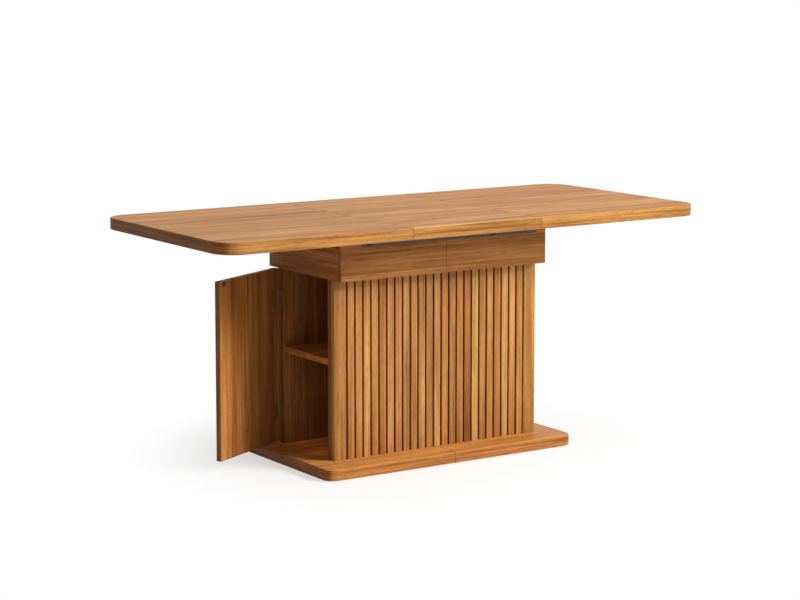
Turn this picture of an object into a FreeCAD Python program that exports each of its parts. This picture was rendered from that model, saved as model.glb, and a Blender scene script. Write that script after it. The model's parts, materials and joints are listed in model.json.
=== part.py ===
import FreeCAD, Part
import math
import os
import re
import Sketcher
from FreeCAD import Placement, Rotation, Vector

# An extending kitchen table that stands on a storage cabinet.
# +X runs along the table to the right, +Y to the back and +Z up. The origin is on the floor,
# under the middle of the table. The table is built as it stands with its leaf in and its
# cabinet door part open. Lengths are in millimetres and angles in degrees.

SIZES = {
    # the whole table
    "table_height": 762,
    "glide_height": 2,
    # the top: two halves with a folding leaf between them
    "top_length": 1746,
    "top_width": 768,
    "top_thickness": 36,
    "top_corner_radius": 72,
    "top_edge_chamfer": 2,
    "leaf_length": 470,
    "seam_gap": 0.4,
    "seam_chamfer": 0.8,
    # the apron box under the top, where the folded leaf is kept
    "apron_end_overhang": 4,
    "apron_depth": 426,
    "apron_height": 136,
    "apron_board_thickness": 20,
    "apron_floor_thickness": 18,
    "apron_chamfer": 2,
    "runner_passage_width": 31,
    # the cabinet
    "cabinet_length": 755,
    "cabinet_depth": 330,
    "side_board_thickness": 18,
    "end_panel_thickness": 18,
    "slat_thickness": 16,
    "slat_pitch": 28.75,
    "slat_count": 23,
    "groove_width": 5,
    "slat_chamfer": 1.5,
    "shelf_height": 345,
    "shelf_thickness": 19,
    "shelf_side_gap": 0.5,
    "shelf_setback": 2,
    "support_length": 12,
    "support_reach": 10,
    "support_thickness": 3,
    "support_pin_radius": 2.5,
    "support_pin_depth": 10,
    "support_inset": 36,
    "support_count": 4,
    "support_pin_sides": 8,
    # the base
    "base_length": 918,
    "base_depth": 530,
    "base_thickness": 34,
    "base_corner_radius": 36,
    "base_edge_chamfer": 2,
    "glide_radius": 12,
    "glide_inset": 46,
    "glide_count": 4,
    "glide_sides": 16,
    "joining_plate_length": 160,
    "joining_plate_width": 40,
    "joining_plate_thickness": 2,
    "joining_plate_offset": 130,
    "joining_screw_inset": 20,
    # the door in the left end, seen closed here and turned open about its hinges
    "door_thickness": 17,
    "door_gap": 2,
    "door_edge_gap": 0.4,
    "door_chamfer": 1,
    "door_open_angle": 62,
    "hinge_count": 2,
    "hinge_height": 50,
    "hinge_inset": 70,
    "hinge_leaf_width": 30,
    "hinge_leaf_thickness": 0.8,
    "hinge_knuckle_radius": 3.2,
    "hinge_knuckle_sides": 12,
    "hinge_knuckle_count": 3,
    "hinge_knuckle_gap": 0.3,
    "hinge_pin_radius": 1.6,
    "hinge_pin_clearance": 0.05,
    "hinge_screw_spacing": 30,
    "hinge_screw_count": 2,
    "strike_length": 20,
    "strike_height": 12,
    "strike_thickness": 1.2,
    "strike_inset": 15,
    "strike_screw_offset": 6.5,
    "latch_radius": 5,
    "latch_length": 40,
    "latch_drop": 12,
    "plunger_radius": 2.5,
    "plunger_length": 20,
    "plunger_reach": 0.6,
    "plunger_clearance": 0.1,
    "plunger_chamfer": 0.5,
    "plunger_travel": 2.5,
    # the rails fixed in the apron and the rack runners that carry the halves of the top
    "rail_left_margin": 70,
    "rail_right_margin": 36,
    "rail_setback": 1,
    "rail_depth": 18,
    "rail_height": 35.5,
    "rail_wall": 1.5,
    "rail_lip": 4,
    "rib_depth": 2.4,
    "rib_thickness": 1.5,
    "rib_clearance": 0.325,
    "window_width": 19,
    "left_window_inset": 30.5,
    "right_window_inset": 169.5,
    "window_margin": 4,
    "rail_stop_thickness": 5,
    "half_travel": 45,
    "stop_clearance": 1,
    "bar_inner_end": 104,
    "bar_clearance": 0.5,
    "bar_side_clearance": 0.4,
    "rack_module": 1.5,
    "rack_addendum": 1.35,
    "rack_dedendum": 1.875,
    "rack_pressure_angle": 25,
    "rack_backlash": 0.1,
    "rack_inner_reach": 12.5,
    "rack_end_land": 9,
    "pinion_teeth": 12,
    "pinion_face": 8.4,
    "pinion_gap": 0.3,
    "pin_collar": 2.8,
    "pin_head": 1.5,
    "pin_head_radius": 4,
    "pin_head_sides": 12,
    "pin_radius": 1.95,
    "pin_clearance": 0.05,
    "neck_thickness": 2.5,
    "neck_gap": 0.5,
    "neck_inner_end": 150,
    "flange_gap": 2,
    "flange_thickness": 2,
    "flange_clearance": 1,
    "hanger_reach": 245,
    "leaf_clearance": 10,
    "cleat_width": 25,
    "cleat_height": 25,
    "cleat_end_inset": 110,
    "cleat_apron_gap": 12,
    "cleat_chamfer": 4,
    "leaf_pad_thickness": 0.5,
    "leaf_pad_length": 40,
    "leaf_pad_width": 12,
    "leaf_pad_inset": 40,
    # the concealed hinges of the leaf
    "leaf_hinge_radius": 7,
    "leaf_hinge_depth": 16,
    "leaf_hinge_spacing": 160,
    "leaf_hinge_count": 3,
    "leaf_hinge_sides": 12,
    # blocks, dowels and screws
    "block_side": 30,
    "block_end_gap": 4,
    "dowel_radius": 4,
    "dowel_length": 60,
    "dowel_spacing": 30,
    "dowel_first_height": 20,
    "dowel_count": 3,
    "dowel_sides": 8,
    "screw_radius": 2.5,
    "screw_head_radius": 5,
    "screw_head_height": 2.5,
    "base_screw_length": 64,
    "floor_screw_length": 50,
    "cabinet_screw_inset": 76,
    "cabinet_screw_count": 4,
    "cleat_screw_length": 45,
    "cleat_screw_inset": 50,
    "cleat_screw_count": 3,
    "small_screw_radius": 1.5,
    "small_screw_head_radius": 2.9,
    "small_screw_head_height": 0.8,
    "small_screw_length": 16,
    "rail_screw_inset": 43.5,
    "rail_screw_count": 4,
    "hanger_screw_spacing": 180,
    "hanger_screw_count": 2,
    "hanger_screw_end_gap": 30,
    "screw_clearance": 0.05,
    "screw_sides": 6,
}

# Places and lengths that follow from the sizes. A name may use the names above it.
PLACES = {
    "top_under": "table_height - top_thickness",
    "leaf_end": "leaf_length / 2",
    "half_inner_x": "leaf_end + seam_gap / 2",
    "leaf_outer_x": "leaf_end - seam_gap / 2",
    "apron_under": "top_under - apron_height",
    "apron_floor_top": "apron_under + apron_floor_thickness",
    "apron_face_y": "apron_depth / 2",
    "apron_end_x": "cabinet_length / 2 + apron_end_overhang",
    "apron_inner_x": "apron_end_x - apron_board_thickness",
    "apron_inner_y": "apron_face_y - apron_board_thickness",
    "base_top": "glide_height + base_thickness",
    "wall_height": "apron_under - base_top",
    "cabinet_end_x": "cabinet_length / 2",
    "cabinet_face_y": "cabinet_depth / 2",
    "side_outer_y": "cabinet_face_y - slat_thickness",
    "side_inner_y": "side_outer_y - side_board_thickness",
    "side_middle_y": "side_outer_y - side_board_thickness / 2",
    "slat_width": "slat_pitch - groove_width",
    "slat_field": "slat_count * slat_pitch + groove_width",
    "stile_width": "(cabinet_length - slat_field) / 2",
    "shelf_inner_end_x": "cabinet_end_x - end_panel_thickness - shelf_side_gap",
    "shelf_under": "shelf_height - shelf_thickness",
    "support_spacing": "(cabinet_length - end_panel_thickness - 2 * support_inset) / (support_count - 1)",
    "door_height": "wall_height - 2 * door_gap",
    "door_under": "base_top + door_gap",
    "hinge_axis_x": "cabinet_end_x + door_gap / 2",
    "hinge_back": "hinge_knuckle_radius + hinge_knuckle_gap",
    "hinge_leaf_gap": "door_gap / 2 - hinge_leaf_thickness",
    "hinge_spacing": "door_height - 2 * hinge_inset - hinge_height",
    "knuckle_height": "hinge_height / hinge_knuckle_count",
    "latch_z": "apron_under - latch_drop",
    "rail_floor": "top_under - leaf_pad_thickness - rail_height",
    "rail_face_y": "apron_face_y - rail_setback",
    "rail_middle": "rail_floor + rail_height / 2",
    "rail_left_x": "-apron_end_x + rail_left_margin",
    "rail_right_x": "apron_end_x - rail_right_margin",
    "rail_shift": "(rail_left_margin - rail_right_margin) / 2",
    "rail_cut": "3 * rail_wall + rib_depth",
    "rail_inside": "rail_height / 2 - rail_wall",
    "pitch_radius": "rack_module * pinion_teeth / 2",
    "rack_pitch": "rack_module * pi",
    "rack_root": "pitch_radius + rack_dedendum",
    "rack_tip": "pitch_radius - rack_addendum",
    "bar_far": "rail_inside - bar_clearance",
    "left_bar_x": "rail_left_x + rail_stop_thickness + half_travel + stop_clearance",
    "right_bar_end_x": "rail_right_x - rail_stop_thickness - half_travel - stop_clearance",
    "left_teeth": "floor(rack_inner_reach - (left_bar_x + rack_end_land) / rack_pitch)",
    "right_teeth": "floor(rack_inner_reach + (right_bar_end_x - rack_end_land) / rack_pitch)",
    "bar_front_u": "rail_wall + bar_side_clearance",
    "bar_back_u": "rail_depth - rail_wall - bar_side_clearance",
    "tooth_front_u": "rail_wall + rib_depth + bar_side_clearance",
    "pinion_front_u": "rail_wall + pin_collar + pinion_gap",
    "pinion_back_u": "pinion_front_u + pinion_face",
    "neck_front_u": "pinion_back_u + neck_gap",
    "flange_front_u": "rail_depth + flange_gap",
    "flange_back_u": "flange_front_u + flange_thickness",
    "cleat_outer_y": "rail_face_y - flange_back_u",
    "cleat_inner_x": "apron_end_x + cleat_apron_gap",
    "cleat_length": "top_length / 2 - cleat_end_inset - cleat_inner_x",
    "cleat_screw_spacing": "(cleat_length - 2 * cleat_screw_inset) / (cleat_screw_count - 1)",
    "hanger_outer_end": "cleat_inner_x + hanger_reach",
    "rail_screw_u": "rail_depth / 2",
    "rail_screw_spacing": "(rail_right_x - rail_left_x - 2 * rail_screw_inset) / (rail_screw_count - 1)",
    "screw_row_x": "-cabinet_end_x + cabinet_screw_inset",
    "cabinet_screw_spacing": "-2 * screw_row_x / (cabinet_screw_count - 1)",
}

WAYS = {
    "+x": Rotation(Vector(0, 1, 0), 90),
    "-x": Rotation(Vector(0, 1, 0), -90),
    "+y": Rotation(Vector(1, 0, 0), -90),
    "-y": Rotation(Vector(1, 0, 0), 90),
    "+z": Rotation(),
    "-z": Rotation(Vector(1, 0, 0), 180),
}
HALF_TURN = Rotation(Vector(0, 0, 1), 180)
SAME_PLACE = 1e-4
FLANK_STEPS = 2

document = FreeCAD.newDocument("KitchenTable")
sheet = document.addObject("Spreadsheet::Sheet", "Sizes")
for row, (size_name, size) in enumerate(SIZES.items(), start=1):
    sheet.set("A%d" % row, str(size))
    sheet.setAlias("A%d" % row, size_name)
document.recompute()

pieces = []


# ---------------------------------------------------------------- expressions and features

def bound(text):
    """The expression with each named place written out and each size read from the sheet."""
    def written_out(match):
        word = match.group()
        if word in PLACES:
            return "(" + bound(PLACES[word]) + ")"
        if word in SIZES:
            return "Sizes." + word
        return word
    return re.sub(r"[a-z_]+", written_out, text)


def value(text):
    """The number that the expression gives for the sizes in the sheet."""
    return float(sheet.evalExpression(bound(text)))


def new_body(name, turned=False):
    """A body for one sub-part. A turned one is swung half a turn about the table's middle."""
    body = document.addObject("PartDesign::Body", name)
    body.Label = name
    body.AllowCompound = True
    if turned:
        body.Placement = Placement(Vector(), HALF_TURN)
    pieces.append(body)
    return body


def place(feature, point):
    for axis, text in zip("xyz", point):
        feature.setExpression("Placement.Base." + axis, bound(text))


def block(body, name, low, size, kind="Additive"):
    """A box from its low corner and its sizes along X, Y and Z."""
    box = body.newObject("PartDesign::%sBox" % kind, name)
    for side, text in zip(("Length", "Width", "Height"), size):
        box.setExpression(side, bound(text))
    place(box, low)
    return box


def rod(body, name, start, way, radius, length, kind="Additive"):
    """A cylinder that runs from its start along one of the six ways."""
    cylinder = body.newObject("PartDesign::%sCylinder" % kind, name)
    cylinder.Placement = Placement(Vector(), WAYS[way])
    cylinder.setExpression("Radius", bound(radius))
    cylinder.setExpression("Height", bound(length))
    place(cylinder, start)
    return cylinder


def prism(body, name, start, way, sides, radius, length, kind="Additive"):
    """A many-sided rod, for small round pieces that repeat. The radius is to its corners."""
    rod_of_faces = body.newObject("PartDesign::%sPrism" % kind, name)
    rod_of_faces.Placement = Placement(Vector(), WAYS[way])
    rod_of_faces.setExpression("Polygon", bound(sides))
    rod_of_faces.setExpression("Circumradius", bound(radius))
    rod_of_faces.setExpression("Height", bound(length))
    place(rod_of_faces, start)
    return rod_of_faces


def screw(body, name, start, way, size="screw", length="small_screw_length"):
    """A screw with a flat head that is let in flush. Its head starts at the given point."""
    head = prism(body, name + "_head", start, way, "screw_sides", size + "_head_radius",
                 size + "_head_height")
    shank = prism(body, name + "_shank", start, way, "screw_sides", size + "_radius", length)
    return [head, shank]


def pilot_hole(body, name, start, way, size="screw", length="small_screw_length"):
    """The hole for the part of such a screw below its head."""
    return prism(body, name, start, way, "screw_sides", size + "_radius + screw_clearance",
                 length + " + screw_clearance", kind="Subtractive")


def screw_hole(body, name, start, way, size="screw", length="small_screw_length"):
    """The hole for the whole of such a screw, with room for its head."""
    sink = prism(body, name + "_sink", start, way, "screw_sides",
                 size + "_head_radius + screw_clearance", size + "_head_height", kind="Subtractive")
    return [sink, pilot_hole(body, name + "_bore", start, way, size, length)]


def row(body, name, originals, count, spacing, role="X_Axis"):
    """Copies of some features in a straight row along an axis of the body."""
    pattern = body.newObject("PartDesign::LinearPattern", name)
    pattern.Originals = originals
    pattern.Direction = (origin_feature(body, role), [""])
    pattern.Mode = "Spacing"
    pattern.setExpression("Occurrences", bound(count))
    pattern.setExpression("Offset", bound(spacing))
    body.Tip = pattern
    return pattern


def origin_feature(body, role):
    return next(feature for feature in body.Origin.OriginFeatures if feature.Role == role)


def edges_where(feature, test):
    """The names of the feature's edges that pass the test."""
    document.recompute()
    return ["Edge%d" % number for number, edge in enumerate(feature.Shape.Edges, start=1) if test(edge)]


def lies_at(edge, axis, text):
    here = value(text)
    return all(abs(getattr(vertex.Point, axis) - here) < SAME_PLACE for vertex in edge.Vertexes)


def runs_along(edge, axis):
    ends = edge.Vertexes
    if len(ends) != 2:
        return False
    step = ends[1].Point - ends[0].Point
    return abs(abs(getattr(step, axis)) - step.Length) < SAME_PLACE


def dress(body, kind, name, feature, test, size):
    """A Fillet or Chamfer on those edges of a feature that pass the test."""
    chosen = edges_where(feature, test)
    dressed = body.newObject("PartDesign::" + kind, name)
    dressed.Base = (feature, chosen)
    dressed.setExpression("Radius" if kind == "Fillet" else "Size", bound(size))
    return dressed


def outline(body, name, plane, corners, offset="0"):
    """A closed sketch through corners whose two coordinates are bound to the sheet."""
    sketch = body.newObject("Sketcher::SketchObject", name)
    sketch.AttachmentSupport = (origin_feature(body, plane), [""])
    sketch.MapMode = "FlatFace"
    sketch.setExpression("AttachmentOffset.Base.z", bound(offset))
    points = [Vector(value(across), value(up), 0) for across, up in corners]
    count = len(points)
    for number in range(count):
        sketch.addGeometry(Part.LineSegment(points[number], points[(number + 1) % count]), False)
    for number, (across, up) in enumerate(corners):
        following = (number + 1) % count
        sketch.addConstraint(Sketcher.Constraint("Coincident", number, 2, following, 1))
        for kind, text, here in (("DistanceX", across, points[number].x),
                                 ("DistanceY", up, points[number].y)):
            added = sketch.addConstraint(Sketcher.Constraint(kind, -1, 1, number, 1, here))
            sketch.setExpression("Constraints[%d]" % added, bound(text))
    return sketch


def pad(body, name, sketch, length, kind="Pad"):
    solid = body.newObject("PartDesign::" + kind, name)
    solid.Profile = sketch
    solid.setExpression("Length", bound(length))
    return solid


# ---------------------------------------------------------------- the top

def half_plate(name, turned, measures, under, seam_x):
    """Half of a plate with rounded corners, left of its seam; turned, it is the right half."""
    length = measures + "_length"
    width = measures + "_width" if measures == "top" else measures + "_depth"
    thickness = measures + "_thickness"
    upper = "%s + %s" % (under, thickness)
    body = new_body(name, turned)
    slab = block(body, "slab", ("-%s / 2" % length, "-%s / 2" % width, under),
                 ("%s / 2 - %s" % (length, seam_x), width, thickness))
    rounded = dress(body, "Fillet", "corner", slab,
                    lambda edge: lies_at(edge, "x", "-%s / 2" % length) and runs_along(edge, "z"),
                    measures + "_corner_radius")
    eased = dress(body, "Chamfer", "seam_arris", rounded,
                  lambda edge: lies_at(edge, "x", "-" + seam_x) and not runs_along(edge, "z"),
                  "seam_chamfer")
    dress(body, "Chamfer", "outer_arris", eased,
          lambda edge: (lies_at(edge, "z", under) or lies_at(edge, "z", upper))
          and not lies_at(edge, "x", "-%s - seam_chamfer" % seam_x),
          measures + "_edge_chamfer")
    return body


def top_half(name, turned):
    """A half of the top, with pilot holes for the screws of its two cleats."""
    body = half_plate(name, turned, "top", "top_under", "half_inner_x")
    for side, sign in (("front", "-"), ("back", "")):
        hole = pilot_hole(body, side + "_cleat_hole", cleat_screw_start(sign), "+z", "screw",
                          "cleat_screw_length")
        row(body, side + "_cleat_holes", [hole], "cleat_screw_count", "cleat_screw_spacing")
    return body


def leaf_half(name, turned):
    """The front half of the folding leaf, with bores for its concealed hinges; turned, the back half."""
    body = new_body(name, turned)
    slab = block(body, "slab", ("-leaf_outer_x", "-top_width / 2", "top_under"),
                 ("2 * leaf_outer_x", "(top_width - seam_gap) / 2", "top_thickness"))
    eased = dress(body, "Chamfer", "seam_arris", slab,
                  lambda edge: (lies_at(edge, "z", "top_under") or lies_at(edge, "z", "table_height"))
                  and not lies_at(edge, "y", "-top_width / 2"),
                  "seam_chamfer")
    dress(body, "Chamfer", "outer_arris", eased,
          lambda edge: (lies_at(edge, "z", "top_under") or lies_at(edge, "z", "table_height"))
          and lies_at(edge, "y", "-top_width / 2"),
          "top_edge_chamfer")
    bore = prism(body, "hinge_bore", leaf_hinge_start(), "-y", "leaf_hinge_sides",
                 "leaf_hinge_radius + screw_clearance", "leaf_hinge_depth", kind="Subtractive")
    row(body, "hinge_bores", [bore], "leaf_hinge_count", "leaf_hinge_spacing")
    return body


def leaf_hinge_start():
    return ("-leaf_hinge_spacing * (leaf_hinge_count - 1) / 2", "-seam_gap / 2",
            "top_under + top_thickness / 2")


def leaf_hinge_cups(name, turned):
    """The round bodies of the concealed hinges, let into the folding edge."""
    body = new_body(name, turned)
    cup = prism(body, "cup", leaf_hinge_start(), "-y", "leaf_hinge_sides", "leaf_hinge_radius",
                "leaf_hinge_depth")
    row(body, "cups", [cup], "leaf_hinge_count", "leaf_hinge_spacing")
    return body


# ---------------------------------------------------------------- runners, rails and pinions

def rail_y(depth):
    """The front rail's place across the table at some depth behind its outer face."""
    return "-rail_face_y + " + depth


def rail_z(side, distance):
    """The height at a distance above (+) or below (-) the middle of the rail."""
    return "rail_middle %s (%s)" % (side, distance)


def fixed_rail(name, turned):
    """An aluminium rail: a lipped channel with two ribs, between which two rack bars run."""
    body = new_body(name, turned)
    half = [
        ("0", "rail_height / 2"),
        ("rail_depth", "rail_height / 2"),
        ("rail_depth", "rail_inside - rail_lip"),
        ("rail_depth - rail_wall", "rail_inside - rail_lip"),
        ("rail_depth - rail_wall", "rail_inside"),
        ("rail_wall", "rail_inside"),
        ("rail_wall", "rack_root - rib_clearance"),
        ("rail_wall + rib_depth", "rack_root - rib_clearance"),
        ("rail_wall + rib_depth", "rack_root - rib_clearance - rib_thickness"),
        ("rail_wall", "rack_root - rib_clearance - rib_thickness"),
    ]
    corners = [(rail_y(depth), rail_z("+", far)) for depth, far in half]
    corners += [(rail_y(depth), rail_z("-", far)) for depth, far in reversed(half)]
    section = outline(body, "section", "YZ_Plane", corners, "rail_left_x")
    pad(body, "extrusion", section, "rail_right_x - rail_left_x")
    for window, middle in (("left_window", "rail_left_x + left_window_inset"),
                           ("right_window", "rail_right_x - right_window_inset")):
        block(body, window, (middle + " - window_width / 2", rail_y("(-rail_wall)"),
                             "rail_floor + window_margin"),
              ("window_width", "rail_cut", "rail_height - 2 * window_margin"),
              kind="Subtractive")
    rod(body, "pin_hole", ("0", rail_y("(-rail_wall)"), "rail_middle"), "+y",
        "pin_radius + pin_clearance", "rail_cut", kind="Subtractive")
    hole = screw_hole(body, "foot_hole", rail_screw_start(), "-z", "small_screw")
    row(body, "foot_holes", hole, "rail_screw_count", "rail_screw_spacing")
    return body


def rail_screw_start():
    return (screw_row_start("front"), rail_y("rail_screw_u"), "rail_floor + rail_wall")


def rail_screws(name):
    """The screws that hold both rails down on the apron's boards."""
    body = new_body(name)
    _, front_y, up = rail_screw_start()
    for side, along in (("front", front_y), ("back", "-(%s)" % front_y)):
        first = screw(body, side + "_screw", (screw_row_start(side), along, up), "-z", "small_screw")
        row(body, side + "_screws", first, "rail_screw_count", "rail_screw_spacing")
    return body


def screw_row_start(side):
    """Where a rail's row of screws starts; the back rail is the front one turned round."""
    shift = "rail_shift" if side == "front" else "-rail_shift"
    return shift + " - rail_screw_spacing * (rail_screw_count - 1) / 2"


def rail_fittings(name, turned):
    """What the rail holds: an end stop in each end and two pads that the leaf lies on."""
    body = new_body(name, turned)
    for end, low in (("left", "rail_left_x"), ("right", "rail_right_x - rail_stop_thickness")):
        block(body, end + "_stop", (low, rail_y("rail_wall + rib_depth"), rail_z("-", "rail_inside")),
              ("rail_stop_thickness", "pinion_back_u - rail_wall - rib_depth", "2 * rail_inside"))
    for end, low in (("left", "-leaf_end + leaf_pad_inset"),
                     ("right", "leaf_end - leaf_pad_inset - leaf_pad_length")):
        block(body, end + "_pad", (low, rail_y("(rail_depth - leaf_pad_width) / 2"),
                                   "rail_floor + rail_height"),
              ("leaf_pad_length", "leaf_pad_width", "leaf_pad_thickness"))
    return body


def runner(name, side, turned):
    """A rack bar inside the rail and the hanger that joins it to one half of the top.

    The upper bar (side +) belongs to the left half and the lower one (side -) to the right.
    """
    body = new_body(name, turned)
    left_side = side == "+"
    bar_low = "rack_root" if left_side else "bar_far"
    low_x, high_x = ("left_bar_x", "bar_inner_end") if left_side else ("-bar_inner_end", "right_bar_end_x")
    block(body, "bar", (low_x, rail_y("bar_front_u"), rail_z(side, bar_low)),
          ("%s - (%s)" % (high_x, low_x), "bar_back_u - bar_front_u", "bar_far - rack_root"))
    rack(body, side)
    hanger(body, side)
    return body


def rack(body, side):
    """Straight-sided teeth along the bar. They are counted from its inner end, to stay in mesh."""
    slope = " * tan(rack_pressure_angle * 1deg)"
    thick = "rack_pitch / 4 - rack_backlash / 2"
    root_half = "(%s + rack_dedendum%s)" % (thick, slope)
    tip_half = "(%s - rack_addendum%s)" % (thick, slope)
    teeth, first = (("left_teeth", "(rack_inner_reach - left_teeth + 1)") if side == "+" else
                    ("right_teeth", "(-rack_inner_reach)"))
    middle = first + " * rack_pitch"
    corners = [(middle + " - " + root_half, rail_z(side, "rack_root")),
               (middle + " + " + root_half, rail_z(side, "rack_root")),
               (middle + " + " + tip_half, rail_z(side, "rack_tip")),
               (middle + " - " + tip_half, rail_z(side, "rack_tip"))]
    section = outline(body, "tooth_section", "XZ_Plane", corners, "rail_face_y - neck_front_u")
    tooth = pad(body, "tooth", section, "neck_front_u - tooth_front_u")
    return row(body, "rack_row", [tooth], teeth, "rack_pitch")


def hanger(body, side):
    """An angle that leaves the rail between its lips and stands up beside the cleat."""
    left_side = side == "+"
    root = rail_z(side, "rack_root")
    clear = rail_z(side, "rack_root - neck_thickness")
    low, high = (clear, root) if left_side else (root, clear)
    flange_top = "rail_floor + rail_height - flange_clearance"
    corners = [(rail_y("neck_front_u"), low),
               (rail_y("flange_back_u"), low),
               (rail_y("flange_back_u"), flange_top),
               (rail_y("flange_front_u"), flange_top),
               (rail_y("flange_front_u"), high),
               (rail_y("neck_front_u"), high)]
    start = "-hanger_outer_end" if left_side else "neck_inner_end"
    section = outline(body, "hanger_section", "YZ_Plane", corners, start)
    pad(body, "hanger", section, "hanger_outer_end - neck_inner_end")
    trim_x = "-leaf_end - leaf_clearance" if left_side else "neck_inner_end - leaf_clearance"
    block(body, "leaf_passage", (trim_x, rail_y("flange_front_u"), "rail_floor"),
          ("leaf_end - neck_inner_end + 2 * leaf_clearance", "2 * flange_thickness", "rail_height"),
          kind="Subtractive")
    first = hanger_screw_start("-")
    if not left_side:
        first = ("hanger_outer_end - hanger_screw_end_gap"
                 " - hanger_screw_spacing * (hanger_screw_count - 1)",) + first[1:]
    hole = screw_hole(body, "hanger_hole", first, "+y", "small_screw")
    row(body, "hanger_holes", hole, "hanger_screw_count", "hanger_screw_spacing")


def hanger_screw_start(sign):
    across = "%s(rail_face_y - flange_front_u)" % sign
    return ("-hanger_outer_end + hanger_screw_end_gap", across, "top_under - cleat_height / 2")


def cleat_screw_start(sign):
    return ("-cleat_inner_x - cleat_length / 2 - cleat_screw_spacing * (cleat_screw_count - 1) / 2",
            "%s(cleat_outer_y - cleat_width / 2)" % sign, "top_under - cleat_height")


def cleats(name, turned):
    """Two wooden cleats under a half of the top. The runners are screwed to their outer sides."""
    body = new_body(name, turned)
    for side, low_y in (("front", "-cleat_outer_y"), ("back", "cleat_outer_y - cleat_width")):
        cleat = block(body, side, ("-cleat_inner_x - cleat_length", low_y, "top_under - cleat_height"),
                      ("cleat_length", "cleat_width", "cleat_height"))
        dress(body, "Chamfer", side + "_arris", cleat,
              lambda edge: lies_at(edge, "z", "top_under - cleat_height") and runs_along(edge, "y"),
              "cleat_chamfer")
    for side, sign, inward in (("front", "-", "+y"), ("back", "", "-y")):
        upward = screw_hole(body, side + "_hole", cleat_screw_start(sign), "+z", "screw",
                            "cleat_screw_length")
        row(body, side + "_holes", upward, "cleat_screw_count", "cleat_screw_spacing")
        across = pilot_hole(body, side + "_side_hole", hanger_screw_start(sign), inward, "small_screw")
        row(body, side + "_side_holes", [across], "hanger_screw_count", "hanger_screw_spacing")
    return body


def cleat_screws(name, turned):
    body = new_body(name, turned)
    for side, sign, inward in (("front", "-", "+y"), ("back", "", "-y")):
        upward = screw(body, side + "_screw", cleat_screw_start(sign), "+z", "screw",
                       "cleat_screw_length")
        row(body, side + "_screws", upward, "cleat_screw_count", "cleat_screw_spacing")
        across = screw(body, side + "_side_screw", hanger_screw_start(sign), inward, "small_screw")
        row(body, side + "_side_screws", across, "hanger_screw_count", "hanger_screw_spacing")
    return body


def involute(angle):
    return math.tan(angle) - angle


def tooth_half_angle(radius):
    """Half of the angle that a pinion tooth spans at some radius, by its involute flanks."""
    pitch_radius = value("pitch_radius")
    pressure = math.radians(value("rack_pressure_angle"))
    base_radius = pitch_radius * math.cos(pressure)
    at_pitch = (value("rack_pitch / 4") - value("rack_backlash / 2")) / pitch_radius
    here = math.acos(min(1.0, base_radius / radius))
    return at_pitch + involute(pressure) - involute(here)


def pinion(name, turned):
    """A spur pinion whose top and bottom teeth drive the two racks of a rail apart."""
    teeth = int(value("pinion_teeth"))
    root_radius = value("pitch_radius - rack_dedendum")
    tip_radius = value("pitch_radius + rack_addendum")
    base_radius = value("pitch_radius") * math.cos(math.radians(value("rack_pressure_angle")))
    flank = [(root_radius, tooth_half_angle(base_radius))]
    for step in range(FLANK_STEPS + 1):
        radius = base_radius + (tip_radius - base_radius) * step / FLANK_STEPS
        flank.append((radius, tooth_half_angle(radius)))
    tooth = [(radius, -angle) for radius, angle in flank] + [(r, angle) for r, angle in reversed(flank)]
    points = []
    for number in range(teeth):
        middle = math.pi / 2 - 2 * math.pi * number / teeth
        points += [Vector(radius * math.cos(middle - angle), 0, radius * math.sin(middle - angle))
                   for radius, angle in tooth]
    wheel = Part.Face(Part.makePolygon(points + points[:1]))
    wheel = wheel.extrude(Vector(0, value("pinion_face"), 0))
    bore = Part.makeCylinder(value("pin_radius + pin_clearance"), value("pinion_face"),
                             Vector(), Vector(0, 1, 0))
    gear = document.addObject("Part::Feature", name)
    gear.Label = name
    gear.Shape = wheel.cut(bore)
    seat = Vector(0, value(rail_y("pinion_front_u")), value("rail_middle"))
    gear.Placement = Placement(seat, Rotation())
    if turned:
        gear.Placement = Placement(Vector(), HALF_TURN).multiply(gear.Placement)
    pieces.append(gear)
    return gear


def pinion_pin(name, turned):
    """A headed pin riveted into the rail's wall; its collar keeps the pinion off the wall."""
    body = new_body(name, turned)
    rod(body, "shank", ("0", rail_y("0"), "rail_middle"), "+y", "pin_radius", "pinion_back_u + pinion_gap")
    for part, depth, length in (("collar", "rail_wall", "pin_collar"),
                                ("head", "pinion_back_u + pinion_gap", "pin_head")):
        prism(body, part, ("0", rail_y(depth), "rail_middle"), "+y", "pin_head_sides",
              "pin_head_radius", length)
    return body


# ---------------------------------------------------------------- the apron

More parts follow.
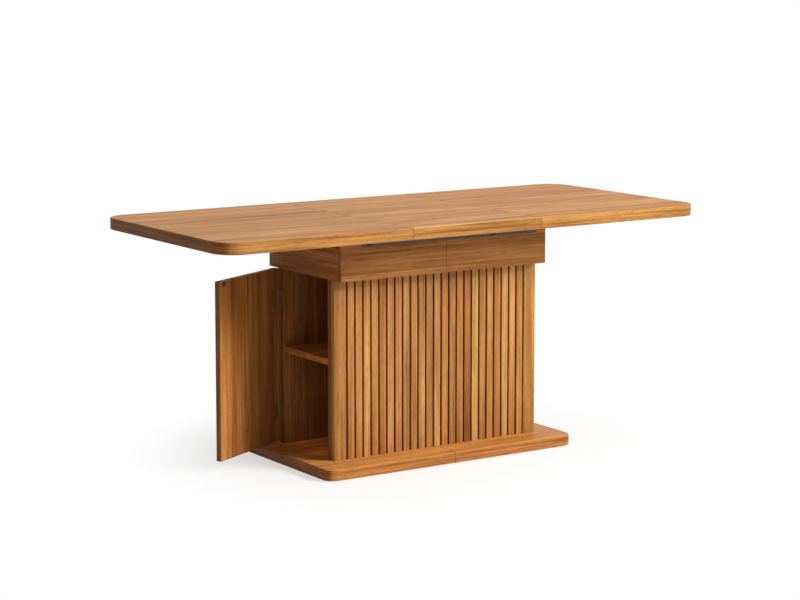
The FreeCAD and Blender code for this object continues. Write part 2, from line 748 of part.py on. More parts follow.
def apron_board(name, half, turned):
    """Half of the apron's front, left or right of the seam; turned, a half of its back."""
    body = new_body(name, turned)
    left_side = half == "left"
    end_x = "-apron_end_x" if left_side else "apron_end_x"
    board = block(body, "board", (end_x if left_side else "seam_gap / 2", "-apron_face_y", "apron_under"),
                  ("apron_end_x - seam_gap / 2", "apron_board_thickness", "apron_height"))
    dress(body, "Chamfer", "corner_arris", board,
          lambda edge: lies_at(edge, "y", "-apron_face_y") and lies_at(edge, "x", end_x),
          "apron_chamfer")
    block(body, "rail_seat", ("rail_left_x" if left_side else "0", "-apron_face_y - apron_chamfer",
                              "rail_floor"),
          ("-rail_left_x" if left_side else "rail_right_x", "apron_board_thickness + 2 * apron_chamfer",
           "apron_height"), kind="Subtractive")
    block(body, "runner_passage", ("-apron_end_x - apron_chamfer" if left_side else "rail_right_x",
                                   rail_y("neck_front_u - flange_clearance"), "rail_floor"),
          ("apron_end_x + rail_left_x + apron_chamfer" if left_side else
           "apron_end_x - rail_right_x + apron_chamfer", "apron_board_thickness", "apron_height"),
          kind="Subtractive")
    start = rail_screw_start()
    if not left_side:
        start = (start[0] + " + rail_screw_spacing * rail_screw_count / 2",) + start[1:]
    pilot = pilot_hole(body, "rail_pilot", start, "-z", "small_screw")
    row(body, "rail_pilots", [pilot], "rail_screw_count / 2", "rail_screw_spacing")
    bore = prism(body, "dowel_bore", dowel_start(), "+x", "dowel_sides",
                 "dowel_radius + screw_clearance", "dowel_length", kind="Subtractive")
    row(body, "dowel_bores", [bore], "dowel_count", "dowel_spacing", role="Z_Axis")
    return body


def dowel_start():
    return ("-dowel_length / 2", "-apron_face_y + apron_board_thickness / 2",
            "apron_under + dowel_first_height")


def apron_dowels(name):
    """Dowels across the seams in the front and the back of the apron."""
    body = new_body(name)
    across, _, low = dowel_start()
    for side, sign in (("front", "-"), ("back", "")):
        place_y = "%s(apron_face_y - apron_board_thickness / 2)" % sign
        dowel = prism(body, side + "_dowel", (across, place_y, low), "+x", "dowel_sides",
                      "dowel_radius", "dowel_length")
        row(body, side + "_dowels", [dowel], "dowel_count", "dowel_spacing", role="Z_Axis")
    return body


def apron_end(name, turned):
    """An end board of the apron, let down at its upper corners for the runners and cleats."""
    body = new_body(name, turned)
    block(body, "board", ("-apron_end_x", "-apron_inner_y", "apron_under"),
          ("apron_board_thickness", "2 * apron_inner_y", "apron_height"))
    for side, low_y in (("front", "-apron_inner_y - seam_gap"),
                        ("back", "apron_inner_y - runner_passage_width")):
        block(body, side + "_passage", ("-apron_end_x - seam_gap", low_y, "rail_floor"),
              ("apron_board_thickness + 2 * seam_gap", "runner_passage_width + seam_gap",
               "apron_height"), kind="Subtractive")
    return body


def apron_floor(name):
    """The bottom of the apron box. It lies on the cabinet's walls and is screwed down to them."""
    body = new_body(name)
    block(body, "board", ("-apron_inner_x", "-apron_inner_y", "apron_under"),
          ("2 * apron_inner_x", "2 * apron_inner_y", "apron_floor_thickness"))
    for side, sign in (("front", "-"), ("back", "")):
        hole = screw_hole(body, side + "_hole", floor_screw_start(sign), "-z", "screw",
                          "floor_screw_length")
        row(body, side + "_holes", hole, "cabinet_screw_count", "cabinet_screw_spacing")
    return body


def floor_screw_start(sign):
    return ("screw_row_x", sign + "side_middle_y", "apron_floor_top")


def corner_blocks(name):
    """Glue blocks in the four corners of the apron box, below the rails."""
    body = new_body(name)
    for end, low_x in (("left", "-apron_inner_x"), ("right", "apron_inner_x - block_side")):
        for side, low_y in (("front", "-apron_inner_y"), ("back", "apron_inner_y - block_side")):
            block(body, end + "_" + side, (low_x, low_y, "apron_floor_top + block_end_gap"),
                  ("block_side", "block_side", "rail_floor - apron_floor_top - 2 * block_end_gap"))
    return body


def screw_rows(name, start, way, length):
    """A row of screws along the front wall of the cabinet and one along the back wall."""
    body = new_body(name)
    for side, sign in (("front", "-"), ("back", "")):
        first = screw(body, side + "_screw", start(sign), way, "screw", length)
        row(body, side + "_screws", first, "cabinet_screw_count", "cabinet_screw_spacing")
    return body


# ---------------------------------------------------------------- the cabinet

def side_board(name, turned):
    """The board behind the slats, bored for the shelf supports and for the screws at its ends."""
    body = new_body(name, turned)
    block(body, "board", ("-cabinet_end_x", "-side_outer_y", "base_top"),
          ("cabinet_length", "side_board_thickness", "wall_height"))
    for place_name, start, way, length in (
            ("base", base_screw_start("-"), "+z", "base_screw_length"),
            ("floor", floor_screw_start("-"), "-z", "floor_screw_length")):
        pilot = pilot_hole(body, place_name + "_pilot", start, way, "screw", length)
        row(body, place_name + "_pilots", [pilot], "cabinet_screw_count", "cabinet_screw_spacing")
    for across, start in support_starts(turned):
        prism(body, "support_bore_%d" % across, start, "-y", "support_pin_sides",
              "support_pin_radius + screw_clearance", "support_pin_depth + screw_clearance",
              kind="Subtractive")
    if turned:
        hinge_pilots(body)
    else:
        rod(body, "latch_bore", latch_start(), "+x", "latch_radius + screw_clearance",
            "latch_length + screw_clearance", kind="Subtractive")
    return body


def support_starts(turned=False):
    """Where the support pins of the front wall enter it, or those of the back wall turned round."""
    direction = "-" if turned else ""
    for number in range(int(value("support_count"))):
        across = "%s(-cabinet_end_x + support_inset + support_spacing * %d)" % (direction, number)
        yield number, (across, "-side_inner_y", "shelf_under - support_thickness / 2")


def hinge_pilots(body):
    """Holes for the hinge screws, in the end of a back wall that was built turned round."""
    for number in hinge_numbers():
        start = ("cabinet_end_x", "-side_middle_y", hinge_screw_z(number))
        pilot = pilot_hole(body, "hinge_pilot_%d" % number, start, "-x", "small_screw")
        row(body, "hinge_pilots_%d" % number, [pilot], "hinge_screw_count", "hinge_screw_spacing",
            role="Z_Axis")


def knuckle_recesses(body):
    """Notches for the hinges' knuckles, in the corner of a back stile that was built turned round."""
    for number in hinge_numbers():
        block(body, "knuckle_recess_%d" % number,
              ("hinge_axis_x - hinge_back", "-cabinet_face_y - hinge_back", hinge_low_z(number)),
              ("2 * hinge_back", "2 * hinge_back", "hinge_height"), kind="Subtractive")


def slats(name, turned):
    """The slats on one long side, each with eased edges and a groove before the next."""
    body = new_body(name, turned)
    slat = block(body, "slat", ("-slat_field / 2 + groove_width", "-cabinet_face_y", "base_top"),
                 ("slat_width", "slat_thickness", "wall_height"))
    eased = dress(body, "Chamfer", "arris", slat,
                  lambda edge: lies_at(edge, "y", "-cabinet_face_y") and runs_along(edge, "z"),
                  "slat_chamfer")
    row(body, "slat_row", [slat, eased], "slat_count", "slat_pitch")
    return body


def stile(name, half, turned):
    """The wide upright at one end of the slats."""
    body = new_body(name, turned)
    low_x = "-cabinet_end_x" if half == "left" else "cabinet_end_x - stile_width"
    upright = block(body, "upright", (low_x, "-cabinet_face_y", "base_top"),
                    ("stile_width", "slat_thickness", "wall_height"))
    dress(body, "Chamfer", "arris", upright,
          lambda edge: lies_at(edge, "y", "-cabinet_face_y") and runs_along(edge, "z"),
          "slat_chamfer")
    if turned and half == "right":
        knuckle_recesses(body)
    return body


def end_panel(name):
    body = new_body(name)
    block(body, "panel", ("cabinet_end_x - end_panel_thickness", "-side_inner_y", "base_top"),
          ("end_panel_thickness", "2 * side_inner_y", "wall_height"))
    return body


def shelf(name):
    body = new_body(name)
    board = block(body, "board", ("-cabinet_end_x + shelf_setback", "-side_inner_y + shelf_side_gap",
                                  "shelf_under"),
                  ("cabinet_end_x - shelf_setback + shelf_inner_end_x",
                   "2 * (side_inner_y - shelf_side_gap)", "shelf_thickness"))
    dress(body, "Chamfer", "front_arris", board,
          lambda edge: lies_at(edge, "x", "-cabinet_end_x + shelf_setback") and runs_along(edge, "y"),
          "seam_chamfer")
    return body


def shelf_supports(name):
    """Pins in the cabinet's walls, each with a flat tongue under the shelf."""
    body = new_body(name)
    for number, (across, inner_y, middle_z) in support_starts():
        for side, sign, outward in (("front", "", "-y"), ("back", "-", "+y")):
            label = "%s_%d" % (side, number)
            prism(body, "pin_" + label, (across, "%s(%s)" % (sign, inner_y), middle_z), outward,
                  "support_pin_sides", "support_pin_radius", "support_pin_depth")
            low_y = "-side_inner_y" if side == "front" else "side_inner_y - support_reach"
            block(body, "tongue_" + label, (across + " - support_length / 2", low_y,
                                            "shelf_under - support_thickness"),
                  ("support_length", "support_reach", "support_thickness"))
    return body


# ---------------------------------------------------------------- the base

def base_plate(name, turned):
    """Half of the base, with a recess for the joining plates and holes for its screws."""
    body = half_plate(name, turned, "base", "glide_height", "seam_gap / 2")
    for side, sign in (("front", "-"), ("back", "")):
        middle_y = "%sjoining_plate_offset" % sign
        block(body, side + "_recess", ("-joining_plate_length / 2", middle_y + " - joining_plate_width / 2",
                                       "glide_height"),
              ("joining_plate_length", "joining_plate_width", "joining_plate_thickness"),
              kind="Subtractive")
        pilot_x = "-joining_plate_length / 2 + joining_screw_inset"
        pilot_hole(body, side + "_plate_pilot", (pilot_x, middle_y, "glide_height"), "+z",
                   "small_screw")
        hole = screw_hole(body, side + "_wall_hole", base_screw_start(sign), "+z", "screw",
                          "base_screw_length")
        row(body, side + "_wall_holes", hole, "cabinet_screw_count / 2", "cabinet_screw_spacing")
    return body


def base_screw_start(sign):
    return ("screw_row_x", sign + "side_middle_y", "glide_height")


def glides(name):
    """Felt-soled discs under the base, which stands on them."""
    body = new_body(name)
    for side, sign in (("front", "-"), ("back", "")):
        disc = prism(body, side + "_disc", ("-base_length / 2 + glide_inset",
                                            "%s(base_depth / 2 - glide_inset)" % sign, "0"),
                     "+z", "glide_sides", "glide_radius", "glide_height")
        row(body, side + "_discs", [disc], "glide_count",
            "(base_length - 2 * glide_inset) / (glide_count - 1)")
    return body


def joining_plates(name):
    """Steel plates let into the underside across the seam of the base."""
    body = new_body(name)
    for side, sign in (("front", "-"), ("back", "")):
        middle_y = "%sjoining_plate_offset" % sign
        block(body, side, ("-joining_plate_length / 2", middle_y + " - joining_plate_width / 2",
                           "glide_height"),
              ("joining_plate_length", "joining_plate_width", "joining_plate_thickness"))
        for end, across in joining_screw_places():
            screw_hole(body, side + end, (across, middle_y, "glide_height"), "+z", "small_screw")
    return body


def joining_screw_places():
    return (("_left", "-joining_plate_length / 2 + joining_screw_inset"),
            ("_right", "joining_plate_length / 2 - joining_screw_inset"))


def joining_screws(name):
    body = new_body(name)
    for side, sign in (("front", "-"), ("back", "")):
        for end, across in joining_screw_places():
            screw(body, side + end, (across, sign + "joining_plate_offset", "glide_height"), "+z",
                  "small_screw")
    return body


# ---------------------------------------------------------------- the door, its hinges and its latch

def hang(body, swings):
    """Puts a body that was built about the hinge axis in its place, and opens it if it swings."""
    angle = value("door_open_angle") if swings else 0
    seat = Vector(-value("hinge_axis_x"), value("cabinet_face_y"), 0)
    body.Placement = Placement(seat, Rotation(Vector(0, 0, -1), angle))


def hinge_numbers():
    return range(int(value("hinge_count")))


def hinge_low_z(number):
    return "door_under + hinge_inset + %d * hinge_spacing" % number


def hinge_screw_z(number):
    return hinge_low_z(number) + " + (hinge_height - hinge_screw_spacing * (hinge_screw_count - 1)) / 2"


def door(name):
    """A plain slab over the whole left end of the cabinet, built shut about its hinge axis."""
    body = new_body(name)
    slab = block(body, "slab", ("-door_gap / 2 - door_thickness", "-cabinet_depth", "door_under"),
                 ("door_thickness", "cabinet_depth - door_edge_gap", "door_height"))
    dress(body, "Chamfer", "arris", slab, lambda edge: lies_at(edge, "x", "-door_gap / 2 - door_thickness")
          or lies_at(edge, "y", "-cabinet_depth"), "door_chamfer")
    for number in hinge_numbers():
        block(body, "knuckle_recess_%d" % number, ("-hinge_back", "-hinge_back", hinge_low_z(number)),
              ("2 * hinge_back", "2 * hinge_back", "hinge_height"), kind="Subtractive")
        start = ("-door_gap / 2", hinge_screw_y(swings=True), hinge_screw_z(number))
        pilot = pilot_hole(body, "hinge_pilot_%d" % number, start, "-x", "small_screw",
                           "small_screw_length - hinge_leaf_thickness")
        row(body, "hinge_pilots_%d" % number, [pilot], "hinge_screw_count", "hinge_screw_spacing",
            role="Z_Axis")
    for end, along in strike_screw_places():
        pilot_hole(body, "strike_pilot" + end, ("-door_gap / 2", along, "latch_z"), "-x", "small_screw",
                   "small_screw_length - strike_thickness")
    hang(body, swings=True)
    return body


def hinge_screw_y(swings):
    """How far from the hinge axis the screws of a leaf are, on the door or in the case's side board."""
    return "-hinge_back - hinge_leaf_width / 2" if swings else "side_middle_y - cabinet_face_y"


def hinge_leaves(name, swings):
    """The leaves of both butt hinges: the door's carry the middle knuckle, the case's the others."""
    body = new_body(name)
    low_x = "-door_gap / 2" if swings else "hinge_leaf_gap"
    knuckles = range(1 if swings else 0, int(value("hinge_knuckle_count")), 2)
    screw_way, screw_x = ("-x", "-hinge_leaf_gap") if swings else ("+x", "hinge_leaf_gap")
    for number in hinge_numbers():
        low_z = hinge_low_z(number)
        block(body, "leaf_%d" % number, (low_x, "-hinge_back - hinge_leaf_width", low_z),
              ("hinge_leaf_thickness", "hinge_leaf_width", "hinge_height"))
        for turn in knuckles:
            knuckle_z = "%s + %d * knuckle_height + hinge_knuckle_gap / 2" % (low_z, turn)
            label = "_%d_%d" % (number, turn)
            block(body, "tab" + label, (low_x, "-hinge_back", knuckle_z),
                  ("hinge_leaf_thickness", "hinge_back", "knuckle_height - hinge_knuckle_gap"))
            prism(body, "knuckle" + label, ("0", "0", knuckle_z), "+z", "hinge_knuckle_sides",
                  "hinge_knuckle_radius", "knuckle_height - hinge_knuckle_gap")
        rod(body, "pin_bore_%d" % number, ("0", "0", low_z), "+z", "hinge_pin_radius", "hinge_height",
            kind="Subtractive")
        hole = screw_hole(body, "hole_%d" % number,
                          (screw_x, hinge_screw_y(swings), hinge_screw_z(number)),
                          screw_way, "small_screw")
        row(body, "holes_%d" % number, hole, "hinge_screw_count", "hinge_screw_spacing",
            role="Z_Axis")
    hang(body, swings)
    return body


def hinge_screws(name, swings):
    """The screws of the case's hinge leaves, or all those in the door."""
    body = new_body(name)
    screw_way, screw_x = ("-x", "-hinge_leaf_gap") if swings else ("+x", "hinge_leaf_gap")
    for number in hinge_numbers():
        first = screw(body, "screw_%d" % number,
                      (screw_x, hinge_screw_y(swings), hinge_screw_z(number)), screw_way,
                      "small_screw")
        row(body, "screws_%d" % number, first, "hinge_screw_count", "hinge_screw_spacing",
            role="Z_Axis")
    if swings:
        strike_screws(body)
    hang(body, swings)
    return body


def hinge_pins(name):
    body = new_body(name)
    for number in hinge_numbers():
        rod(body, "pin_%d" % number, ("0", "0", hinge_low_z(number)), "+z",
            "hinge_pin_radius - hinge_pin_clearance", "hinge_height")
    hang(body, swings=False)
    return body


def strike_plate(name):
    """The small plate on the door's inner face that meets the latch."""
    body = new_body(name)
    block(body, "plate", ("-door_gap / 2", "-cabinet_depth + strike_inset",
                          "latch_z - strike_height / 2"),
          ("strike_thickness", "strike_length", "strike_height"))
    for end, along in strike_screw_places():
        screw_hole(body, "hole" + end, ("-door_gap / 2 + strike_thickness", along, "latch_z"), "-x",
                   "small_screw")
    hang(body, swings=True)
    return body


def strike_screws(body):
    for end, along in strike_screw_places():
        screw(body, "strike_screw" + end, ("-door_gap / 2 + strike_thickness", along, "latch_z"), "-x",
              "small_screw")


def strike_screw_places():
    middle = "-cabinet_depth + strike_inset + strike_length / 2"
    return (("_near", middle + " - strike_screw_offset"), ("_far", middle + " + strike_screw_offset"))


def latch_start():
    return ("-cabinet_end_x", "-side_middle_y", "latch_z")


def latch_body(name):
    """The latch's round case, sunk flush into the end of the front wall."""
    body = new_body(name)
    rod(body, "case", latch_start(), "+x", "latch_radius", "latch_length")
    rod(body, "plunger_bore", latch_start(), "+x", "plunger_radius + plunger_clearance",
        "plunger_length - plunger_reach + 2 * plunger_travel", kind="Subtractive")
    return body


def latch_plunger(name):
    """The sprung pin that the door pushes in."""
    body = new_body(name)
    across, along, up = latch_start()
    pin = rod(body, "pin", (across + " - plunger_reach", along, up), "+x", "plunger_radius",
              "plunger_length")
    dress(body, "Chamfer", "tip", pin, lambda edge: lies_at(edge, "x", "-cabinet_end_x - plunger_reach"),
          "plunger_chamfer")
    return body


# ---------------------------------------------------------------- the table

def build_base():
    base_plate("base_plate_left", turned=False)
    base_plate("base_plate_right", turned=True)
    glides("base_glides")
    joining_plates("base_joining_plates")
    joining_screws("base_joining_screws")
    screw_rows("base_screws", base_screw_start, "+z", "base_screw_length")


def build_cabinet():
    for side, turned in (("front", False), ("back", True)):
        side_board(side + "_side_board", turned)
        slats(side + "_slats", turned)
        for end in ("left", "right"):
            built_as = end if not turned else {"left": "right", "right": "left"}[end]
            stile("%s_%s_stile" % (side, end), built_as, turned)
    end_panel("right_end_panel")
    shelf("shelf")
    shelf_supports("shelf_supports")


def build_apron():
    apron_floor("apron_floor")
    screw_rows("apron_floor_screws", floor_screw_start, "-z", "floor_screw_length")
    for side, turned in (("front", False), ("back", True)):
        for end in ("left", "right"):
            built_as = end if not turned else {"left": "right", "right": "left"}[end]
            apron_board("apron_%s_%s_board" % (side, end), built_as, turned)
    apron_end("apron_left_end", turned=False)
    apron_end("apron_right_end", turned=True)
    corner_blocks("apron_corner_blocks")
    apron_dowels("apron_seam_dowels")


def build_runners():
    for side, turned in (("front", False), ("back", True)):
        fixed_rail(side + "_fixed_rail", turned)
        rail_fittings(side + "_rail_stops_and_pads", turned)
        pinion_pin(side + "_pinion_pin", turned)
        pinion(side + "_pinion", turned)
    rail_screws("rail_screws")
    runner("left_runner_front", "+", turned=False)
    runner("right_runner_front", "-", turned=False)
    runner("left_runner_back", "-", turned=True)
    runner("right_runner_back", "+", turned=True)


def build_top():
    for end, turned in (("left", False), ("right", True)):
        top_half("top_" + end, turned)
        cleats(end + "_cleats", turned)
        cleat_screws(end + "_cleat_screws", turned)
    for side, turned in (("front", False), ("back", True)):
        leaf_half("leaf_" + side, turned)
        leaf_hinge_cups("leaf_hinge_cups_" + side, turned)


def build_door():
    door("door")
    hinge_leaves("door_hinge_leaves", swings=True)
    hinge_screws("door_screws", swings=True)
    hinge_leaves("case_hinge_leaves", swings=False)
    hinge_screws("case_hinge_screws", swings=False)
    hinge_pins("door_hinge_pins")
    strike_plate("strike_plate")
    latch_body("latch_body")
    latch_plunger("latch_plunger")


def check_and_write():
    """Stops at a failed feature or an unsound shape; otherwise writes one file for each piece."""
    document.recompute()
    failed = [item.Name for item in document.Objects if {"Invalid", "Error"} & set(item.State)]
    if failed:
        raise SystemExit("failed features: " + ", ".join(failed))
    os.makedirs("parts", exist_ok=True)
    for piece in pieces:
        shape = piece.Shape
        if shape.isNull() or not shape.isValid() or not shape.Solids:
            raise SystemExit("unsound shape: " + piece.Label)
        shape.exportStep("parts/%s.step" % piece.Label)
        print("%-28s %3d solids %10.1f cm3" % (piece.Label, len(shape.Solids), shape.Volume / 1000))


build_base()
build_cabinet()
build_apron()
build_runners()
build_top()
build_door()
check_and_write()
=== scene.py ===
import json
import math

import bmesh
import bpy
from mathutils import Matrix, Vector


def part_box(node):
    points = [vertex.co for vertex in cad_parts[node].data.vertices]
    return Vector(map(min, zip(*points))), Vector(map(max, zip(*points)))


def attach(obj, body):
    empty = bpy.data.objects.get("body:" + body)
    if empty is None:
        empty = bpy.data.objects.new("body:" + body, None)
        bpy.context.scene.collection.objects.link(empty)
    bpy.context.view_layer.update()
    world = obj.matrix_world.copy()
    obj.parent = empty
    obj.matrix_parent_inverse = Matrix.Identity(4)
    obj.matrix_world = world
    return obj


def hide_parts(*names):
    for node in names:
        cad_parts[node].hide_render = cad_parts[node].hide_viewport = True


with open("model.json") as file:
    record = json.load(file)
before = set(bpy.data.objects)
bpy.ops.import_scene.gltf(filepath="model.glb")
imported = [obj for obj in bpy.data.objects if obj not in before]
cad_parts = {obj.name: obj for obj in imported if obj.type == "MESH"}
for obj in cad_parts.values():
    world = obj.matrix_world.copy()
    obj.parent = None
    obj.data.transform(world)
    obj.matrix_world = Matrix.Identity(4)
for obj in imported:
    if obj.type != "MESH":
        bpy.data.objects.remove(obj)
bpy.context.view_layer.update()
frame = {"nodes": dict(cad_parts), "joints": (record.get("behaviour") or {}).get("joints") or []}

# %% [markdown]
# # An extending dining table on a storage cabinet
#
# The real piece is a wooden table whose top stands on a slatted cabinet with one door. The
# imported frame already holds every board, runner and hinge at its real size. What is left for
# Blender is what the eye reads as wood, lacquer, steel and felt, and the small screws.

nodes = frame["nodes"]

# %% [markdown]
# ## Numbers that every later step uses
#
# Lengths on a drawing are in millimetres and Blender works in metres, so one name does the
# conversion. Colours are written as the sRGB hex values that a paint card would give. Shader
# sockets want linear light, and one function turns the first into the second.

# %% Millimetres and hex colours
MM = 0.001
SRGB_KNEE = 0.04045
SRGB_SLOPE = 12.92
SRGB_OFFSET = 0.055
SRGB_POWER = 2.4
BYTE = 255


def linear(hex_colour):
    """The linear RGBA of an sRGB hex colour such as "C98A4B"."""
    channels = [int(hex_colour[i:i + 2], 16) / BYTE for i in (0, 2, 4)]
    return tuple(
        c / SRGB_SLOPE if c <= SRGB_KNEE
        else ((c + SRGB_OFFSET) / (1 + SRGB_OFFSET)) ** SRGB_POWER
        for c in channels
    ) + (1.0,)


print("mid brown in linear light", [round(c, 3) for c in linear("B5783F")])

# %% [markdown]
# ## One way to add a node
#
# Every material below is a small graph. A graph reads best when each line says what a node
# is, what is set on it and what feeds it, so one function does exactly that for all kinds.

# %% Adding a node with its settings and links
def add(tree, kind, feeds=None, stops=None, **settings):
    """Adds a node: settings are its properties, feeds its sockets, stops a ramp's colours."""
    node = tree.nodes.new("ShaderNode" + kind)
    for name, value in settings.items():
        setattr(node, name, value)
    for socket, value in (feeds or {}).items():
        if isinstance(value, bpy.types.NodeSocket):
            tree.links.new(value, node.inputs[socket])
        else:
            node.inputs[socket].default_value = value
    for i, (position, colour) in enumerate(stops or []):
        ends = node.color_ramp.elements
        stop = ends[i] if i < len(ends) else ends.new(position)
        stop.position = position
        stop.color = colour
    return node


def new_material(name):
    """An empty material and its node tree, ready for add()."""
    material = bpy.data.materials.new(name)
    material.use_nodes = True
    material.node_tree.nodes.clear()
    return material, material.node_tree


def finish_material(tree, shader):
    """Joins a shader to the material's output."""
    add(tree, "OutputMaterial", {"Surface": shader.outputs[0]})


print("node helper ready")

# %% [markdown]
# ## Lacquered wood
#
# The boards are a warm, straight-grained hardwood in the way of acacia, planed, stained
# honey brown and finished in clear satin lacquer. Three things make it read as wood. Long
# streaks run along the grain, from broad bands down to fine fibres. Each glued stave or slat
# was cut from another board, so it has its own tone. Cut ends drink more stain and are
# darker. Every pattern is stretched noise in the board's own directions, because a picture
# of wood would smear round the edges, and noise in solid space carries on over them as real
# grain does. The lacquer is satin, so it shines far less than glass.
#
# The recipe comes in steps, and the first finds the stave that a point is in. The stave's
# number is the key to its random numbers, so a stave keeps its tone over its whole length.
# A strip glued round a plate's edge counts as one stave more, and its grain follows the edge.

# %% Which stave a point is in
X_WAY, Y_WAY, Z_WAY = (1.0, 0.0, 0.0), (0.0, 1.0, 0.0), (0.0, 0.0, 1.0)
ONE_BOARD = 10.0
RIM_STAVE = 50.0


def facing(tree, place, way, none_at, all_at):
    """A share from 0 to 1, by how squarely the surface faces a way or its opposite."""
    lean = add(tree, "VectorMath", {0: place.outputs["Normal"], 1: way},
               operation="DOT_PRODUCT")
    level = add(tree, "Math", {0: lean.outputs["Value"]}, operation="ABSOLUTE")
    share = add(tree, "MapRange", {"Value": level.outputs[0], "From Min": none_at,
                                   "From Max": all_at})
    return share.outputs[0]


def stave_luck(tree, side, stave, start, seed, on_rim):
    """Three random numbers that belong to the stave that the point is in."""
    shifted = add(tree, "Math", {0: side, 1: -start}, operation="ADD")
    counted = add(tree, "Math", {0: shifted.outputs[0], 1: stave}, operation="DIVIDE")
    number = add(tree, "Math", {0: counted.outputs[0]}, operation="FLOOR")
    if on_rim is not None:
        number = add(tree, "Mix", {"Factor": on_rim, "A": number.outputs[0],
                                   "B": RIM_STAVE})
    key = add(tree, "CombineXYZ", {"X": number.outputs[0], "Y": seed})
    luck = add(tree, "TexWhiteNoise", {"Vector": key.outputs[0]}, noise_dimensions="3D")
    lucks = add(tree, "SeparateColor", {"Color": luck.outputs["Color"]})
    return [lucks.outputs[i] for i in range(3)]


print("one stave's luck has 3 numbers, a rim is stave", RIM_STAVE)

# %% [markdown]
# The grain is five layers of noise, each stretched to a real length and width. The same
# grain never runs on into the next stave, so each stave is shifted along by its luck.
#
# The finest fibres and pores of the real wood are under half a millimetre wide, and at the
# size of the picture they would vanish, so both are drawn about two millimetres wide.

# %% Grain in five layers
LAYERS = {  # length and width in millimetres, and levels of detail
    "bands": (520.0, 34.0, 2.0),
    "streaks": (300.0, 7.0, 3.0),
    "fibres": (90.0, 2.1, 2.0),
    "pores": (26.0, 1.9, 1.0),
    "veins": (1100.0, 5.5, 0.0),
}
STAVE_SHIFT = 3.1
WARP = 0.35


def grain_layers(tree, run, side, depth, lucks, on_rim, seed):
    """Each layer's grey value, by its name."""
    moved = add(tree, "Math", {0: lucks[0], 1: STAVE_SHIFT, 2: run},
                operation="MULTIPLY_ADD")
    grain = add(tree, "CombineXYZ", {"X": moved.outputs[0], "Y": side,
                                     "Z": depth}).outputs[0]
    if on_rim is not None:
        round_edge = add(tree, "Math", {0: run, 1: side}, operation="SUBTRACT")
        along_rim = add(tree, "CombineXYZ", {"X": round_edge.outputs[0], "Y": depth})
        grain = add(tree, "Mix", {"Factor": on_rim, "A": grain, "B": along_rim.outputs[0]},
                    data_type="VECTOR").outputs["Result"]
    layers = {}
    for layer, (long_mm, wide_mm, detail) in LAYERS.items():
        scale = (1 / (long_mm * MM), 1 / (wide_mm * MM), 1 / (wide_mm * MM))
        squeezed = add(tree, "VectorMath", {0: grain, 1: scale}, operation="MULTIPLY")
        noise = add(tree, "TexNoise",
                    {"Vector": squeezed.outputs[0], "Scale": 1.0, "Detail": detail,
                     "Distortion": WARP, "W": seed}, noise_dimensions="4D")
        layers[layer] = noise.outputs["Fac"]
    return layers


print("grain layers", list(LAYERS))

# %% [markdown]
# Stain turns the grey of the grain into colour, from the darkest line to the palest. One
# ramp is golden and one is red. A stave lies somewhere between the two, and is lighter or
# darker as a whole. Cut ends drink more stain, so they are redder here and are made darker
# in the step after this one.

# %% Stain
BAND_SHARE, STREAK_SHARE, FIBRE_SHARE = 0.42, 0.36, 0.22
STOP_PLACES = [0.34, 0.46, 0.56, 0.68]
GOLDEN = ["7E4F22", "A8743A", "BE8B4B", "D2A66A"]
REDDISH = ["6E3913", "9A5B29", "B06E37", "C88B50"]
TONE_SPREAD = 0.09
END_RED = 0.6


def stain(tree, layers, lucks, cut, vary, red, golden, reddish):
    """The stained colour. The share cut is one on cut ends."""
    first = add(tree, "Math", {0: layers["bands"], 1: BAND_SHARE}, operation="MULTIPLY")
    second = add(tree, "Math", {0: layers["streaks"], 1: STREAK_SHARE, 2: first.outputs[0]},
                 operation="MULTIPLY_ADD")
    figure = add(tree, "Math", {0: layers["fibres"], 1: FIBRE_SHARE, 2: second.outputs[0]},
                 operation="MULTIPLY_ADD")
    lift = add(tree, "MapRange", {"Value": lucks[1], "To Min": -TONE_SPREAD * vary,
                                  "To Max": TONE_SPREAD * vary})
    toned = add(tree, "Math", {0: figure.outputs[0], 1: lift.outputs[0]}, operation="ADD")
    warm, ruddy = (
        add(tree, "ValToRGB", {"Fac": toned.outputs[0]},
            [(p, linear(c)) for p, c in zip(STOP_PLACES, colours)])
        for colours in (golden, reddish))
    redness = add(tree, "MapRange", {"Value": lucks[2], "To Min": max(0.0, red - vary),
                                     "To Max": min(1.0, red + vary)})
    redder = add(tree, "Math", {0: cut, 1: END_RED, 2: redness.outputs[0]},
                 operation="MULTIPLY_ADD", use_clamp=True)
    stained = add(tree, "Mix", {"Factor": redder.outputs[0], "A": warm.outputs[0],
                                "B": ruddy.outputs[0]}, data_type="RGBA")
    return stained.outputs["Result"]


print("stain from", GOLDEN[0], "to", GOLDEN[-1], "or from", REDDISH[0], "to", REDDISH[-1])

# %% [markdown]
# A few places are darker or paler than the rest: pores, cut ends, long thin veins, rims, and
# seams. The flanks of the slats, the door's edges and the ground between slats are darkened
# as painted shade, and the floor inside the cabinet is made paler as painted light. They could
# be painted by hand on a picture of each board, but a new size would spoil that. Here each
# is a share, which says where it is, and a tone, which the colour is multiplied by there.

# %% Tones, and the veins
PORE_FROM, PORE_TO, PORE_TONE = 0.36, 0.44, 0.72
VEIN_FROM, VEIN_TO = 0.53, 0.6
FACE_VEIN_TONE, RIM_VEIN_TONE = 0.8, 0.76


def times(tree, shade, share, tone):
    """The shade, multiplied by the tone where the share is one."""
    factor = add(tree, "MapRange", {"Value": share, "To Min": 1.0, "To Max": tone})
    multiplied = add(tree, "Math", {0: shade, 1: factor.outputs[0]}, operation="MULTIPLY")
    return multiplied.outputs[0]


